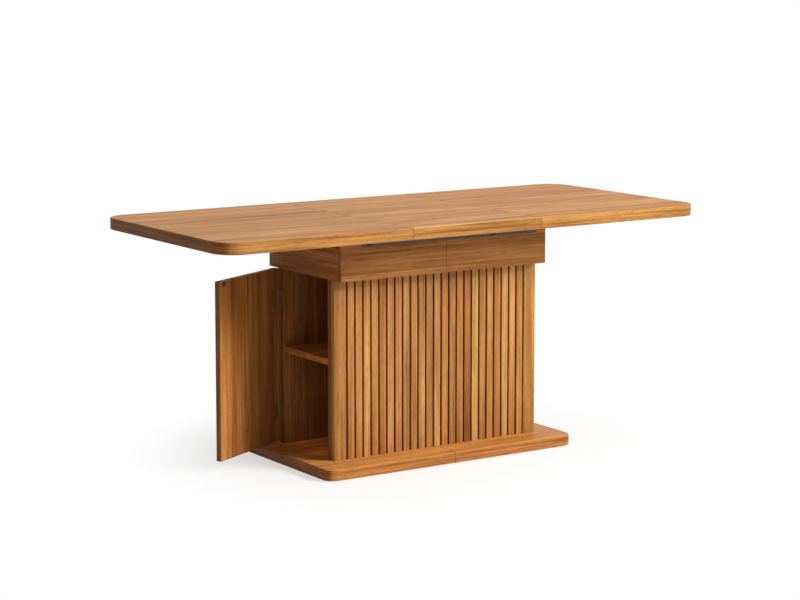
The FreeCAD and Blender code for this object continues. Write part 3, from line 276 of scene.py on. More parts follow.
def vein_places(tree, veins, on_rim, rim_tone, veined):
    """Veins, which show on upright boards and on the rims of plates, and the rims."""
    vein = add(tree, "MapRange", {"Value": veins, "From Min": VEIN_FROM,
                                  "From Max": VEIN_TO})
    places = [(vein.outputs[0], FACE_VEIN_TONE)] if veined else []
    if on_rim is not None:
        both = add(tree, "Math", {0: vein.outputs[0], 1: on_rim}, operation="MULTIPLY")
        places += [(on_rim, rim_tone), (both.outputs[0], RIM_VEIN_TONE)]
    return places


print("tone of pores", PORE_TONE, "of veins", FACE_VEIN_TONE, "on a rim", RIM_VEIN_TONE)

# %% [markdown]
# The last three places are found by how far a point lies from the table's middle. Between
# the slats the ground is darkened as painted shade. A seam is a line about a millimetre wide on
# each side of the joint. Inside the cabinet the base's floor is made paler as painted light.

# %% Painted shade in grooves, seams, and painted light on the floor inside
GROOVE_PAINTED_SHADE = 0.16
SEAM_WIDTH, SEAM_TONE = 1.2 * MM, 0.5
INSIDE_FROM, INSIDE_TO, INSIDE_SIDE = 400 * MM, 330 * MM, 145 * MM


def groove_places(tree, depth, groove_at):
    """Painted shade on the ground between slats, which lies further in than the given depth."""
    out = add(tree, "Math", {0: depth}, operation="ABSOLUTE")
    behind = add(tree, "Math", {0: out.outputs[0], 1: groove_at}, operation="GREATER_THAN")
    return [(behind.outputs[0], GROOVE_PAINTED_SHADE)]


def seam_places(tree, run, seam_at):
    """The seams, as far from the middle as given on both sides."""
    away = add(tree, "Math", {0: run}, operation="ABSOLUTE")
    close = add(tree, "Math", {0: away.outputs[0], 1: seam_at, 2: SEAM_WIDTH},
                operation="COMPARE")
    return [(close.outputs[0], SEAM_TONE)]


def painted_light_inside(tree, run, side, inside_painted_light):
    """Painted light on the floor inside the cabinet."""
    out_x, out_y = (add(tree, "Math", {0: way}, operation="ABSOLUTE")
                    for way in (run, side))
    deep = add(tree, "MapRange", {"Value": out_x.outputs[0], "From Min": INSIDE_FROM,
                                  "From Max": INSIDE_TO})
    narrow = add(tree, "Math", {0: out_y.outputs[0], 1: INSIDE_SIDE},
                 operation="LESS_THAN")
    within = add(tree, "Math", {0: deep.outputs[0], 1: narrow.outputs[0]},
                 operation="MULTIPLY")
    return [(within.outputs[0], inside_painted_light)]


print("tone of grooves", GROOVE_PAINTED_SHADE, "of seams", SEAM_TONE)

# %% [markdown]
# Last comes the lacquer. It is clear satin with the IOR of most varnishes, so its roughness
# is middling and follows the fibres a little, and its relief is a third of a millimetre at
# most. Handled edges lose a little stain and turn paler, and on the slats the paler edges
# are mostly a painted highlight along the arrises. A mask painted by hand could say where,
# but the Bevel node finds them for any shape: a rounded normal differs from the flat one there.

# %% Worn edges with a painted highlight, and lacquer
LACQUER_IOR = 1.5
WEAR_AND_HIGHLIGHT_RADIUS, WEAR_AND_HIGHLIGHT_SAMPLES = 2.2 * MM, 4
WEAR_AND_HIGHLIGHT_FROM, WEAR_AND_HIGHLIGHT_TO, WORN_AND_HIGHLIGHT_COLOUR = 0.98, 0.8, "D9AE74"
FIBRE_FROM, FIBRE_TO = 0.3, 0.7
GLOSS_LOW, GLOSS_HIGH = -0.07, 0.09
RELIEF_STRENGTH, FIBRE_HEIGHT = 0.35, 0.35 * MM


def lacquer(tree, colour, fibres, pored, wear_and_highlight, roughness, shine):
    """Satin lacquer over a colour that is paler near edges, for wear and as a painted highlight.
    """
    rounded = add(tree, "Bevel", {"Radius": WEAR_AND_HIGHLIGHT_RADIUS}, samples=WEAR_AND_HIGHLIGHT_SAMPLES)
    flat = add(tree, "NewGeometry")
    same = add(tree, "VectorMath", {0: rounded.outputs[0], 1: flat.outputs["Normal"]},
               operation="DOT_PRODUCT")
    wear_and_highlight_share = add(tree, "MapRange", {"Value": same.outputs["Value"], "From Min": WEAR_AND_HIGHLIGHT_FROM,
                                  "From Max": WEAR_AND_HIGHLIGHT_TO, "To Max": wear_and_highlight})
    edged = add(tree, "Mix", {"Factor": wear_and_highlight_share.outputs[0], "A": colour,
                              "B": linear(WORN_AND_HIGHLIGHT_COLOUR)}, data_type="RGBA")
    gloss = add(tree, "MapRange", {"Value": fibres, "From Min": FIBRE_FROM,
                                   "From Max": FIBRE_TO, "To Min": roughness + GLOSS_LOW,
                                   "To Max": roughness + GLOSS_HIGH})
    height = add(tree, "Math", {0: fibres, 1: pored}, operation="MULTIPLY")
    relief = add(tree, "Bump", {"Strength": RELIEF_STRENGTH, "Distance": FIBRE_HEIGHT,
                                "Height": height.outputs[0],
                                "Normal": rounded.outputs[0]})
    finish_material(tree, add(tree, "BsdfPrincipled", {
        "Base Color": edged.outputs["Result"], "Roughness": gloss.outputs[0],
        "IOR": LACQUER_IOR, "Specular IOR Level": shine,
        "Normal": relief.outputs[0]}))


# The paler edges are wear, and on the slats mostly a painted highlight.
print("worn within", round(WEAR_AND_HIGHLIGHT_RADIUS / MM, 1), "mm of an edge")

# %% [markdown]
# The steps together are the recipe. A board says which way its grain runs, along, and which
# way its staves lie side by side, across. It also says how wide a stave is, how much the
# staves vary, how red and how light the wood is, and how far it shines. Its seed keeps its
# grain apart from every other board's.

# %% The whole recipe
END_GRAIN_FROM, END_GRAIN_TO = 0.55, 0.8
RIM_FROM, RIM_TO = 0.6, 0.4
FLANK_FROM, FLANK_TO = 0.75, 0.95


def wood(name, along, across, stave=ONE_BOARD, start=0.0, seed=0.0, vary=0.5, tone=1.0,
         red=0.5, golden=GOLDEN, reddish=REDDISH, roughness=0.42, shine=0.2, end_tone=0.7,
         wear_and_highlight=0.08, rim=False, rim_tone=0.88, painted_flank_shade=None, groove_at=None, seam_at=None,
         inside_painted_light=None, veined=False):
    """Lacquered wood with its grain along one way and its staves side by side across it."""
    material, tree = new_material(name)
    place = add(tree, "TexCoord")
    through = tuple(Vector(along).cross(Vector(across)))
    run, side, depth = (
        add(tree, "VectorMath", {0: place.outputs["Object"], 1: way},
            operation="DOT_PRODUCT").outputs["Value"]
        for way in (along, across, through))
    on_rim = facing(tree, place, through, RIM_FROM, RIM_TO) if rim else None
    cut = facing(tree, place, along, END_GRAIN_FROM, END_GRAIN_TO)
    lucks = stave_luck(tree, side, stave, start, seed, on_rim)
    layers = grain_layers(tree, run, side, depth, lucks, on_rim, seed)
    stained = stain(tree, layers, lucks, cut, vary, red, golden, reddish)

    places = [(cut, end_tone)]
    places += vein_places(tree, layers["veins"], on_rim, rim_tone, veined)
    # Flanks are darkened as painted shade: the walls of the slats' grooves and the door's edges.
    if painted_flank_shade is not None:
        places.append((facing(tree, place, across, FLANK_FROM, FLANK_TO), painted_flank_shade))
    # The ground between slats is darkened as painted shade.
    if groove_at is not None:
        places += groove_places(tree, depth, groove_at)
    if seam_at is not None:
        places += seam_places(tree, run, seam_at)
    # The floor inside the cabinet is made paler as painted light.
    if inside_painted_light is not None:
        places += painted_light_inside(tree, run, side, inside_painted_light)
    pored = add(tree, "MapRange", {"Value": layers["pores"], "From Min": PORE_FROM,
                                   "From Max": PORE_TO, "To Min": PORE_TONE}).outputs[0]
    shade = add(tree, "Math", {0: pored, 1: tone}, operation="MULTIPLY").outputs[0]
    for share, place_tone in places:
        shade = times(tree, shade, share, place_tone)
    coloured = add(tree, "VectorMath", {0: stained, "Scale": shade}, operation="SCALE")
    lacquer(tree, coloured.outputs[0], layers["fibres"], pored, wear_and_highlight, roughness, shine)
    return material


print("wood recipe ready")

# %% [markdown]
# ## Which board is cut which way
#
# Grain runs the long way of each board: along X on the top, the apron and the base, and
# upright on the slats, the stiles and the door. The slats are one node, so the stave width
# is the slat spacing and every slat gets its own tone. The door is glued from narrow
# upright staves. It stands open in the frame, so its across direction comes from the angle
# of its joint. The sides show only between the slats, and the seams of the top lie where
# its leaf meets the two halves.

# %% Measures on the drawing
SLAT_PITCH, GROOVE = 28.75 * MM, 5 * MM
GROOVE_DEPTH = 145 * MM
TOP_SEAM = 235 * MM
slat_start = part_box("front_slats")[0].x - GROOVE / 2
door_joint = next(j for j in frame["joints"] if j["name"] == "door_swing")
open_angle = math.radians(-door_joint["range_deg"][0])
door_across = (-math.sin(open_angle), -math.cos(open_angle), 0.0)
print("slats start at", round(slat_start / MM, 2), "mm, the door stands open by",
      round(math.degrees(open_angle)), "degrees")

# %% The boards
TOP_LOOK = dict(stave=97 * MM, vary=0.3, red=0.2, tone=1.1, roughness=0.46, shine=0.08,
                rim=True, rim_tone=0.92, end_tone=0.68, seam_at=TOP_SEAM)
BOARDS = {
    "top": (["top_left", "top_right"], X_WAY, Y_WAY, dict(TOP_LOOK, seed=1.0)),
    "leaf": (["leaf_front", "leaf_back"], X_WAY, Y_WAY, dict(TOP_LOOK, seed=1.5)),
    "apron": (
        ["apron_front_left_board", "apron_front_right_board", "apron_back_left_board",
         "apron_back_right_board"], X_WAY, Z_WAY,
        dict(seed=2.0, vary=0.25, red=0.8, tone=0.92, shine=0.1, end_tone=0.9, seam_at=0.0,
             veined=True)),
    "apron_ends": (
        ["apron_left_end", "apron_right_end"], Y_WAY, Z_WAY,
        dict(seed=3.0, vary=0.2, red=1.0, tone=0.86, shine=0.05, veined=True)),
    # The slats' paler edges are mostly a painted highlight, and their flanks are painted shade.
    "slats": (
        ["front_slats", "back_slats"], Z_WAY, X_WAY,
        dict(stave=SLAT_PITCH, start=slat_start, seed=4.0, vary=0.75, red=0.45, tone=1.06,
             shine=0.16, wear_and_highlight=0.6, painted_flank_shade=0.18, veined=True)),
    "stiles": (
        ["front_left_stile", "front_right_stile", "back_left_stile", "back_right_stile"],
        Z_WAY, X_WAY,
        dict(stave=400 * MM, seed=5.0, vary=0.3, red=0.5, tone=0.9, shine=0.1, veined=True)),
    # Where the sides show between the slats they are darkened as painted shade.
    "sides": (
        ["front_side_board", "back_side_board"], Z_WAY, X_WAY,
        dict(stave=34 * MM, seed=6.0, vary=0.3, red=1.0, tone=0.72, shine=0.1,
             groove_at=GROOVE_DEPTH)),
    "end_panel": (
        ["right_end_panel"], Z_WAY, Y_WAY,
        dict(stave=38 * MM, seed=7.0, vary=0.4, red=0.6, tone=0.85)),
    # The door's edges are darkened as painted shade.
    "door": (
        ["door"], Z_WAY, door_across,
        dict(stave=31 * MM, seed=8.0, vary=0.3, red=0.65, tone=1.03, shine=0.12,
             painted_flank_shade=0.5, veined=True)),
    "shelf": (
        ["shelf", "apron_floor"], X_WAY, Y_WAY,
        dict(stave=45 * MM, seed=9.0, vary=0.35, red=0.7, tone=1.2, end_tone=1.0)),
    # Inside the cabinet the base's floor is made paler as painted light.
    "base": (
        ["base_plate_left", "base_plate_right"], X_WAY, Y_WAY,
        dict(stave=85 * MM, seed=10.0, vary=0.3, red=0.35, tone=1.4, shine=0.1, rim=True,
             rim_tone=0.8, end_tone=0.58, seam_at=0.0, inside_painted_light=1.8)),
}
print("boards of", len(BOARDS), "kinds")

# %% Making their woods
WOODS = {}
for board, (names, along, across, look) in BOARDS.items():
    wood_name = "lacquered_acacia_" + board
    WOODS[wood_name] = (wood(wood_name, along, across, **look), names)
print("woods", len(WOODS), "on", sum(len(names) for _, names in WOODS.values()), "nodes")

# %% [markdown]
# ## Hidden joinery wood
#
# Blocks, dowels and cleats sit out of sight and are left bare: planed beech, pale and dry,
# with no lacquer, so it is rougher and hardly shines.

# %% Planed beech
BEECH_LIGHT = ["A87F50", "BC935F", "CBA470", "D8B584"]
BEECH_WARM = ["9A7045", "B08553", "C09763", "CFA877"]
planed_beech = wood("planed_beech", X_WAY, Y_WAY, seed=11.0, vary=0.2, golden=BEECH_LIGHT,
                    reddish=BEECH_WARM, roughness=0.68, shine=0.1, end_tone=0.85)
WOODS["planed_beech"] = (planed_beech, [
    "apron_corner_blocks", "apron_seam_dowels", "left_cleats", "right_cleats"])
print("bare wood on", WOODS["planed_beech"][1])

# %% [markdown]
# ## Metals and plastics
#
# The rails are extruded aluminium with a grey anodised skin: extrusion leaves faint lines
# along the profile and anodising makes it matt. The runners that slide in them are anodised
# black. Plates, pins and most screws are zinc-plated steel, which is brighter and slightly
# cloudy. The door's hinges and their screws have a bronzed finish close to the wood's colour,
# and the strike is blackened. The wheels, stops, pads and the touch latch are moulded black
# nylon with the fine orange-peel of a mould.
#
# One plain grey would look like paint. So all of them share a recipe with two things that
# the eye looks for on metal, lines and clouds, and differ in their numbers. A metal keeps
# the default IOR, because its colour already says how it reflects.

# %% A recipe for metal
LINE_LENGTH_MM, LINE_DETAIL = 400.0, 3.0
CLOUD_MM, CLOUD_DETAIL = 14.0, 4.0
LINE_FROM, LINE_TO = 0.3, 0.7
MATT_LOW, MATT_HIGH = -0.08, 0.1
LINE_STRENGTH = 0.3


def metal(name, colour, cloud, roughness, line_mm, along, metallic=1.0, relief_mm=0.02):
    """Metal with fine lines along its profile and cloudy variation over the skin."""
    material, tree = new_material(name)
    place = add(tree, "TexCoord")
    stretch = tuple(1 / (LINE_LENGTH_MM * MM) if w else 1 / (line_mm * MM) for w in along)
    lined = add(tree, "VectorMath", {0: place.outputs["Object"], 1: stretch},
                operation="MULTIPLY")
    lines = add(tree, "TexNoise", {"Vector": lined.outputs[0], "Scale": 1.0,
                                   "Detail": LINE_DETAIL})
    clouds = add(tree, "TexNoise", {"Vector": place.outputs["Object"],
                                    "Scale": 1 / (CLOUD_MM * MM), "Detail": CLOUD_DETAIL})
    mixed = add(tree, "Mix", {"Factor": clouds.outputs["Fac"], "A": linear(colour),
                              "B": linear(cloud)}, data_type="RGBA")
    matt = add(tree, "MapRange", {"Value": lines.outputs["Fac"], "From Min": LINE_FROM,
                                  "From Max": LINE_TO, "To Min": roughness + MATT_LOW,
                                  "To Max": roughness + MATT_HIGH})
    relief = add(tree, "Bump", {"Strength": LINE_STRENGTH, "Distance": relief_mm * MM,
                                "Height": lines.outputs["Fac"]})
    finish_material(tree, add(tree, "BsdfPrincipled", {
        "Base Color": mixed.outputs["Result"], "Metallic": metallic,
        "Roughness": matt.outputs[0], "Normal": relief.outputs[0]}))
    return material


print("metal lines are", LINE_LENGTH_MM, "mm long")

# %% Metals and nylon
METALS = {
    "anodised_aluminium": (
        ["front_fixed_rail", "back_fixed_rail"],
        dict(colour="4A4947", cloud="585754", roughness=0.5, line_mm=1.2, along=X_WAY,
             metallic=0.7)),
    "black_anodised_aluminium": (
        ["left_runner_front", "right_runner_front", "left_runner_back",
         "right_runner_back"],
        dict(colour="161514", cloud="201F1D", roughness=0.5, line_mm=1.2, along=X_WAY,
             metallic=0.4)),
    "zinc_plated_steel": (
        ["front_pinion_pin", "back_pinion_pin", "base_joining_plates", "shelf_supports",
         "leaf_hinge_cups_front", "leaf_hinge_cups_back"],
        dict(colour="B9BBBC", cloud="A3A6A6", roughness=0.3, line_mm=0.8, along=Z_WAY)),
    "bronzed_steel": (
        ["case_hinge_leaves", "door_hinge_leaves", "door_hinge_pins"],
        dict(colour="94603A", cloud="7A4B29", roughness=0.6, line_mm=0.8, along=Z_WAY,
             metallic=0.1)),
    "blackened_steel": (
        ["strike_plate"],
        dict(colour="4A4038", cloud="5A4E44", roughness=0.42, line_mm=0.8, along=Z_WAY,
             metallic=0.7)),
    "moulded_nylon": (
        ["front_pinion", "back_pinion", "front_rail_stops_and_pads",
         "back_rail_stops_and_pads", "latch_body", "latch_plunger"],
        dict(colour="191919", cloud="222222", roughness=0.5, line_mm=0.9, along=(0, 0, 0),
             metallic=0.0, relief_mm=0.05)),
}
FINISHES = {name: (metal(name, **look), names) for name, (names, look) in METALS.items()}
print("metals and plastics", sorted(FINISHES))

# %% [markdown]
# ## Felt under the base
#
# The glides are discs of pressed felt. Felt has no gloss at all and a fuzzy, uneven
# surface. Real hairs would be truer, but the discs are hidden under the base, so full
# roughness, a little sheen and a coarse bump are enough.

# %% Pressed felt
TUFT_MM, TUFT_DETAIL = 1.1, 5.0
FELT_STOPS = [(0.35, "15120F"), (0.65, "2E2822")]
TUFT_STRENGTH, TUFT_HEIGHT = 0.8, 0.4 * MM
FELT_ROUGHNESS, FELT_SHEEN = 1.0, 0.4
felt, felt_tree = new_material("pressed_felt")
felt_place = add(felt_tree, "TexCoord")
tufts = add(felt_tree, "TexNoise", {"Vector": felt_place.outputs["Object"],
                                    "Scale": 1 / (TUFT_MM * MM), "Detail": TUFT_DETAIL})
felt_colour = add(felt_tree, "ValToRGB", {"Fac": tufts.outputs["Fac"]},
                  [(p, linear(c)) for p, c in FELT_STOPS])
felt_relief = add(felt_tree, "Bump", {"Strength": TUFT_STRENGTH, "Distance": TUFT_HEIGHT,
                                      "Height": tufts.outputs["Fac"]})
finish_material(felt_tree, add(felt_tree, "BsdfPrincipled", {
    "Base Color": felt_colour.outputs[0], "Roughness": FELT_ROUGHNESS,
    "Sheen Weight": FELT_SHEEN, "Normal": felt_relief.outputs[0]}))
FINISHES["pressed_felt"] = (felt, ["base_glides"])
print("felt on", FINISHES["pressed_felt"][1])

# %% [markdown]
# ## Dressing the frame's nodes
#
# The boards and the metal parts already have their real shapes, so nothing is gained by
# modelling them again. Each node keeps its mesh and gets its finish in every material slot
# that it came with.

# %% Assigning the finishes
def dress(names, material):
    """Puts one material in every slot of the named nodes."""
    for node_name in names:
        mesh = nodes[node_name].data
        if not mesh.materials:
            mesh.materials.append(material)
        for i in range(len(mesh.materials)):
            mesh.materials[i] = material


for material, names in (*WOODS.values(), *FINISHES.values()):
    dress(names, material)
dressed = {n for _, names in (*WOODS.values(), *FINISHES.values()) for n in names}
print("still to do", sorted(set(nodes) - dressed))

# %% [markdown]
# ## The door's hinge edge
#
# A door on butt hinges is planed so close to the wall's corner that no light comes through.
# A strip on the wall would close the slit only while the door is shut. A round edge about
# the hinge's own axis stays as close at every angle. So the door gets a slim round bead
# between its hinges, worked from the door's own wood, and the two are one piece. Its foot
# nearly reaches the base plate.

# %% Where the bead runs
HINGE_HEIGHT = 50 * MM
BEAD_FOOT = 1.9 * MM
door_low, door_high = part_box("door")
hinge_low, hinge_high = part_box("case_hinge_leaves")
hinge_x, hinge_y = door_joint["pos_m"][:2]
bead_ends = [
    (door_low.z - BEAD_FOOT, hinge_low.z),
    (hinge_low.z + HINGE_HEIGHT, hinge_high.z - HINGE_HEIGHT),
    (hinge_high.z, door_high.z),
]
print("bead from and to, in mm", [tuple(round(v / MM, 1) for v in ends) for ends in bead_ends])

# %% Rounding the door's hinge edge
BEAD_RADIUS, BEAD_SIDES, BEAD_END = 1.7 * MM, 16, 0.5 * MM
work = bmesh.new()
work.from_mesh(nodes["door"].data)
for lower, upper in bead_ends:
    height = upper - lower - 2 * BEAD_END
    middle = Matrix.Translation((hinge_x, hinge_y, (lower + upper) / 2))
    bmesh.ops.create_cone(work, cap_ends=True, segments=BEAD_SIDES, radius1=BEAD_RADIUS,
                          radius2=BEAD_RADIUS, depth=height, matrix=middle)
beaded = bpy.data.meshes.new("door_with_bead")
work.to_mesh(beaded)
work.free()
beaded.materials.append(WOODS["lacquered_acacia_door"][0])
door_piece = bpy.data.objects.new("door_with_bead", beaded)
bpy.context.scene.collection.objects.link(door_piece)
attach(door_piece, "cabinet_door")
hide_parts("door")
print("door with bead", len(beaded.polygons), "faces")

# %% [markdown]
# ## Screws
#
# A countersunk screw shows a flat disc with a cross recess. The frame's screws are plain
# stand-ins that say where each one is, which way it points and how large its head is. They
# could be placed again by hand from a drawing, but one read from the frame can't be
# forgotten or drift from its hole. A node holds many screws, so it is first split into its
# solids: corners that an edge joins belong together.

# %% Splitting a node into its solids
WELD_DIGITS = 5  # decimals of a metre within which two corners are one


def separate_solids(node):
    """The vertices of each separate solid in a node, as lists of points."""
    mesh = node.data
    spots = {}
    where = [tuple(round(c, WELD_DIGITS) for c in v.co) for v in mesh.vertices]
    for spot in where:
        spots.setdefault(spot, spot)

    def root(spot):
        while spots[spot] != spot:
            spots[spot] = spots[spots[spot]]
            spot = spots[spot]
        return spot

    for edge in mesh.edges:
        one, other = (root(where[i]) for i in edge.vertices)
        spots[one] = other
    groups = {}
    for spot in list(spots):
        groups.setdefault(root(spot), []).append(Vector(spot))
    return list(groups.values())


print("the base is held by", len(separate_solids(nodes["base_screws"])), "screws")

# %% [markdown]
# Along the way that it points, a screw has two ends, and the wider one is its head. That
# gives its place, its direction into the work, its length and the radii to draw.

# %% How a screw lies
END_BAND = 0.1 * MM


def lie_of(points, way):
    """Where a screw's head is, its direction into the work, its length and radii."""
    way = Vector(way).normalized()
    middle = sum(points, Vector()) / len(points)
    heights = [(p - middle).dot(way) for p in points]
    low, high = min(heights), max(heights)
    reach = {}
    for end in (low, high):
        near = [p for p, h in zip(points, heights) if abs(h - end) < END_BAND]
        centre = sum(near, Vector()) / len(near)
        reach[end] = (max((p - centre).length for p in near), centre)
    head_end = low if reach[low][0] > reach[high][0] else high
    tip_end = high if head_end == low else low
    into = way if head_end == low else -way
    return reach[head_end][1], into, high - low, reach[head_end][0], reach[tip_end][0]


# A screw turns with the body that holds it, and points along one of these ways. Each
# node of cleat screws also holds four short ones that lie across. Those sit under the
# overhang of the top, where only a look from below finds them, and they come out here as
# short upright stubs.
DOOR_NORMAL = (math.cos(open_angle), -math.sin(open_angle), 0.0)
SCREW_NODES = {
    "rail_screws": ("cabinet", Z_WAY), "base_screws": ("cabinet", Z_WAY),
    "apron_floor_screws": ("cabinet", Z_WAY), "base_joining_screws": ("cabinet", Z_WAY),
    "left_cleat_screws": ("left_half", Z_WAY), "right_cleat_screws": ("right_half", Z_WAY),
    "case_hinge_screws": ("cabinet", X_WAY), "door_screws": ("cabinet_door", DOOR_NORMAL),
}
lies = {}
for screw_node, (body, way) in SCREW_NODES.items():
    solids = separate_solids(nodes[screw_node])
    lies[screw_node] = [lie_of(points, way) for points in solids]
    place, into, length, head, tip = lies[screw_node][0]
    print(screw_node, len(solids), "head", [round(v / MM, 1) for v in place],
          "into", [round(v, 2) for v in into], "mm", round(length / MM, 1),
          round(head / MM, 2), round(tip / MM, 2))

# %% [markdown]
# The recess is a plus sign sunk into the head. It could be cut with a Boolean, but its few
# faces are as quickly built, and come out clean. The flat rim between the round edge and
# the plus is filled with triangles, and the walls of the plus slope inward to its floor.
# Its sizes are shares of the head's radius.

# %% Sinking a cross recess
ROUND = 28
CROSS_REACH, CROSS_WIDTH, CROSS_DEPTH = 0.58, 0.13, 0.5
FLOOR_REACH, FLOOR_WIDTH = CROSS_REACH * 0.7, CROSS_WIDTH * 0.8


def plus_outline(reach, width):
    """The twelve corners of a plus sign, in order round it."""
    corners = []
    for turn in range(4):
        spin = Matrix.Rotation(turn * math.pi / 2, 2)
        for corner in ((width, width), (reach, width), (reach, -width)):
            corners.append(spin @ Vector(corner))
    corners.sort(key=lambda c: math.atan2(c.y, c.x))
    return corners


def sink_recess(work, edge_ring, head):
    """Fills a screw's open head inside its edge, round a plus sign that is sunk into it."""
    rim = [work.verts.new((c.x * head, c.y * head, 0))
           for c in plus_outline(CROSS_REACH, CROSS_WIDTH)]
    floor = [work.verts.new((c.x * head, c.y * head, CROSS_DEPTH * head))
             for c in plus_outline(FLOOR_REACH, FLOOR_WIDTH)]
    corners = len(rim)
    rim_edges = [work.edges.new((rim[i], rim[(i + 1) % corners])) for i in range(corners)]
    round_edges = [work.edges.get((edge_ring[i], edge_ring[(i + 1) % ROUND]))
                   for i in range(ROUND)]
    bmesh.ops.triangle_fill(work, edges=rim_edges + round_edges, use_beauty=True)
    for i in range(corners):
        j = (i + 1) % corners
        work.faces.new((rim[i], floor[i], floor[j], rim[j]))
    work.faces.new(floor[::-1])


print("the recess has", len(plus_outline(CROSS_REACH, CROSS_WIDTH)), "corners")

# %% [markdown]
# The screw itself is turned from a profile, as on a lathe. The profile's ridges are the
# thread. They are rings and no spiral, and coarser than real ones, because they show only
# when a screw is looked at by itself.

# %% Turning a screw
HEAD_SHARE, HEAD_EDGE = 0.9, 0.12
THREAD_PITCH, THREAD_DEPTH = 1.6 * MM, 0.18


def screw_mesh(name, length, head, shank):
    """A countersunk cross-recess screw with its head at the origin, pointing along +Z."""
    work = bmesh.new()
    cone = (head - shank) * HEAD_SHARE
    profile = [(head, HEAD_EDGE * (head - shank)), (shank, cone)]
    height = cone + THREAD_PITCH
    while height < length - 2 * THREAD_PITCH:
        profile.append((shank * (1 - THREAD_DEPTH), height - THREAD_PITCH / 2))
        profile.append((shank, height))
        height += THREAD_PITCH
    profile.append((shank * (1 - THREAD_DEPTH), height - THREAD_PITCH / 2))
    rings = []
    for radius, level in [(head, 0.0)] + profile:
        rings.append([
            work.verts.new((radius * math.cos(a), radius * math.sin(a), level))
            for a in (2 * math.pi * i / ROUND for i in range(ROUND))
        ])
    point = work.verts.new((0, 0, length))
    for upper, lower in zip(rings, rings[1:]):
        for i in range(ROUND):
            j = (i + 1) % ROUND
            work.faces.new((upper[i], upper[j], lower[j], lower[i]))
    for i in range(ROUND):
        work.faces.new((rings[-1][i], rings[-1][(i + 1) % ROUND], point))
    sink_recess(work, rings[0], head)
    bmesh.ops.recalc_face_normals(work, faces=work.faces)
    mesh = bpy.data.meshes.new(name)
    work.to_mesh(mesh)
    work.free()
    return mesh


print("thread rings every", round(THREAD_PITCH / MM, 1), "mm")

# %% [markdown]
# Each screw is set where its stand-in was, and all of one node become one object. A real
# hand never stops at the same angle, so each is turned on from the one before it. Its head
# is a little wider than its stand-in's, to cover the edge of the hole, and stands a tenth
# of a millimetre proud.

# %% Setting the screws
HEAD_RIM, HEAD_PROUD = 0.25 * MM, 0.12 * MM
TURN_EACH = 0.7
BRONZED_SCREWS = ("case_hinge_screws", "door_screws")


def join_at(name, meshes_and_places, material):
    """One object made of copies of meshes, each with its own place."""
    work = bmesh.new()
    for mesh, matrix in meshes_and_places:
        first = len(work.verts)
        work.from_mesh(mesh)
        work.verts.ensure_lookup_table()
        bmesh.ops.transform(work, matrix=matrix, verts=work.verts[first:])
    joined = bpy.data.meshes.new(name)
    work.to_mesh(joined)
    work.free()
    joined.materials.append(material)
    made = bpy.data.objects.new(name, joined)
    bpy.context.scene.collection.objects.link(made)
    return made


for screw_node, (body, way) in SCREW_NODES.items():
    copies = []
    for i, (place, into, length, head, shank) in enumerate(lies[screw_node]):
        turned = into.to_track_quat("Z", "X").to_matrix().to_4x4()
        spin = Matrix.Rotation(i * TURN_EACH, 4, "Z")
        copies.append((screw_mesh(f"{screw_node}_{i}", length, head + HEAD_RIM, shank),
                       Matrix.Translation(place - into * HEAD_PROUD) @ turned @ spin))
    skin = "bronzed_steel" if screw_node in BRONZED_SCREWS else "zinc_plated_steel"
    piece = join_at(f"{screw_node}_finished", copies, FINISHES[skin][0])
    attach(piece, body)
    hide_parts(screw_node)
    print(piece.name, len(copies), "screws", len(piece.data.polygons), "faces")

# %% [markdown]
# ## The floor
#
# A product stands on a pale studio floor that fades into a white room. A curved backdrop
# would do that from the front only, so this is a plane that fades all round. Near the table
# it takes the table's soft shadow, and about half of its look is even white already, so
# that the shadow stays light. Further out it turns into even white for the eye. For the
# light that it returns it is an ordinary floor all over, so only the rays that show it to
# the eye, straight, mirrored or through glass, meet the white. The room works the same way,
# and one function finds those rays for both.

# %% Rays that the eye follows
def seen_by_eye(tree):
    """One for rays that show a surface to the eye, zero for light that passes on."""
    ray = add(tree, "LightPath")
    seen = ray.outputs["Is Camera Ray"]
    for kind in ("Is Glossy Ray", "Is Transmission Ray"):
        seen = add(tree, "Math", {0: seen, 1: ray.outputs[kind]},
                   operation="MAXIMUM").outputs[0]
    return seen


print("ray finder ready")

# %% Floor
FLOOR_SIZE = 400.0
FADE_FROM, FADE_TO = 0.3, 0.92
SHADOW_SHARE = 0.52
PAPER, WHITE = "F7F7F7", "FFFFFF"
bpy.ops.mesh.primitive_plane_add(size=FLOOR_SIZE)
floor = bpy.context.object
floor.name = "studio_floor"
paper, paper_tree = new_material("white_paper")
paper_place = add(paper_tree, "TexCoord")
away = add(paper_tree, "VectorMath", {0: paper_place.outputs["Object"]},
           operation="LENGTH")
fade = add(paper_tree, "MapRange", {"Value": away.outputs["Value"],
                                    "From Min": FADE_FROM, "From Max": FADE_TO,
                                    "To Min": 1 - SHADOW_SHARE, "To Max": 1.0},
           interpolation_type="SMOOTHSTEP")
faded = add(paper_tree, "Math", {0: fade.outputs[0], 1: seen_by_eye(paper_tree)},
            operation="MULTIPLY")
paper_skin = add(paper_tree, "BsdfDiffuse", {"Color": linear(PAPER)})
paper_glow = add(paper_tree, "Emission", {"Color": linear(WHITE), "Strength": 1.0})
finish_material(paper_tree, add(paper_tree, "MixShader", {
    "Fac": faded.outputs[0], 1: paper_skin.outputs[0], 2: paper_glow.outputs[0]}))
floor.data.materials.append(paper)
print("floor", FLOOR_SIZE, "m")

# %% [markdown]
# ## Light
#
# A picture of a studio could light the table, but three lamps are easier to place and to
# change. One large soft lamp stands in front and to the right, low enough to throw the
# top's shadow down the apron. A weak one on the ceiling and a weak one in front to the left
# reach under the top and into the open cabinet. The room itself is white and fills the
# rest. The left-hand faces get only these, which gives the cabinet its form.

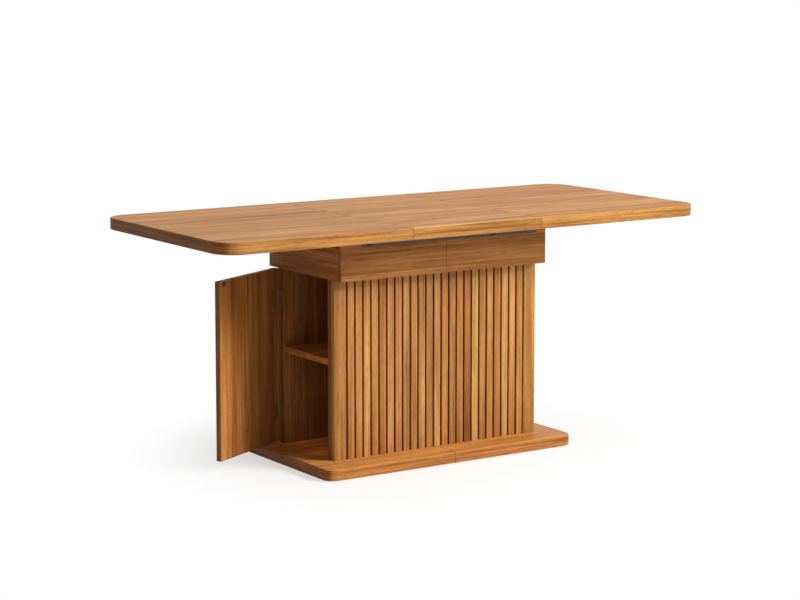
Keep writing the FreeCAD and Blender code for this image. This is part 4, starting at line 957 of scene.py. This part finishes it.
# %% Lamps
TABLE_MIDDLE = (0.0, 0.0, 0.45)
LAMPS = {  # place and size in metres, and power in watts
    "key_softbox": ((4.04, -5.17, 4.5), 2.8, 750.0),
    "ceiling_softbox": ((0.0, -0.4, 4.5), 3.0, 34.0),
    "left_softbox": ((-2.8, -4.0, 3.3), 2.5, 25.0),
}


def lamp(name, place, size, power):
    """A square soft lamp that faces the table."""
    light = bpy.data.lights.new(name, "AREA")
    light.shape = "SQUARE"
    light.size = size
    light.energy = power
    made = bpy.data.objects.new(name, light)
    bpy.context.scene.collection.objects.link(made)
    made.location = place
    towards = Vector(TABLE_MIDDLE) - Vector(place)
    made.rotation_euler = towards.to_track_quat("-Z", "Y").to_euler()


for lamp_name, (place, size, power) in LAMPS.items():
    lamp(lamp_name, place, size, power)
    print(lamp_name, power, "W")

# %% Room
ROOM_FILL = 0.18
world = bpy.data.worlds.new("white_room")
bpy.context.scene.world = world
world.use_nodes = True
room = world.node_tree
room.nodes.clear()
room_seen = seen_by_eye(room)
room_fill, room_white = (
    add(room, "Background", {"Color": linear(WHITE), "Strength": strength})
    for strength in (ROOM_FILL, 1.0))
room_mix = add(room, "MixShader", {"Fac": room_seen, 1: room_fill.outputs[0],
                                   2: room_white.outputs[0]})
add(room, "OutputWorld", {"Surface": room_mix.outputs[0]})
print("room fill", ROOM_FILL)

# %% [markdown]
# ## Camera
#
# A wide lens close by would swell the near corner of the top. A long lens from a few
# metres away keeps the table's edges nearly parallel. The camera stands in front and to the
# left, a little above the top. Its frame is shifted down a little, so that the table stands
# above the middle of it and the uprights stay nearly upright.

# %% Camera
SENSOR = 36.0
LENS = 99.361
CAMERA_PLACE = (-3.818645, -5.738456, 1.584912)
CAMERA_YAW, CAMERA_PITCH = 33.433, 7.0697
FRAME_SHIFT = -0.10
camera_data = bpy.data.cameras.new("camera")
camera_data.sensor_width = SENSOR
camera_data.lens = LENS
camera_data.shift_y = FRAME_SHIFT
camera = bpy.data.objects.new("camera", camera_data)
bpy.context.scene.collection.objects.link(camera)
camera.location = CAMERA_PLACE
camera.rotation_euler = (math.radians(90 - CAMERA_PITCH), 0.0, math.radians(-CAMERA_YAW))
bpy.context.scene.camera = camera
bpy.context.scene.view_settings.view_transform = "Standard"
print("camera lens", LENS, "mm")
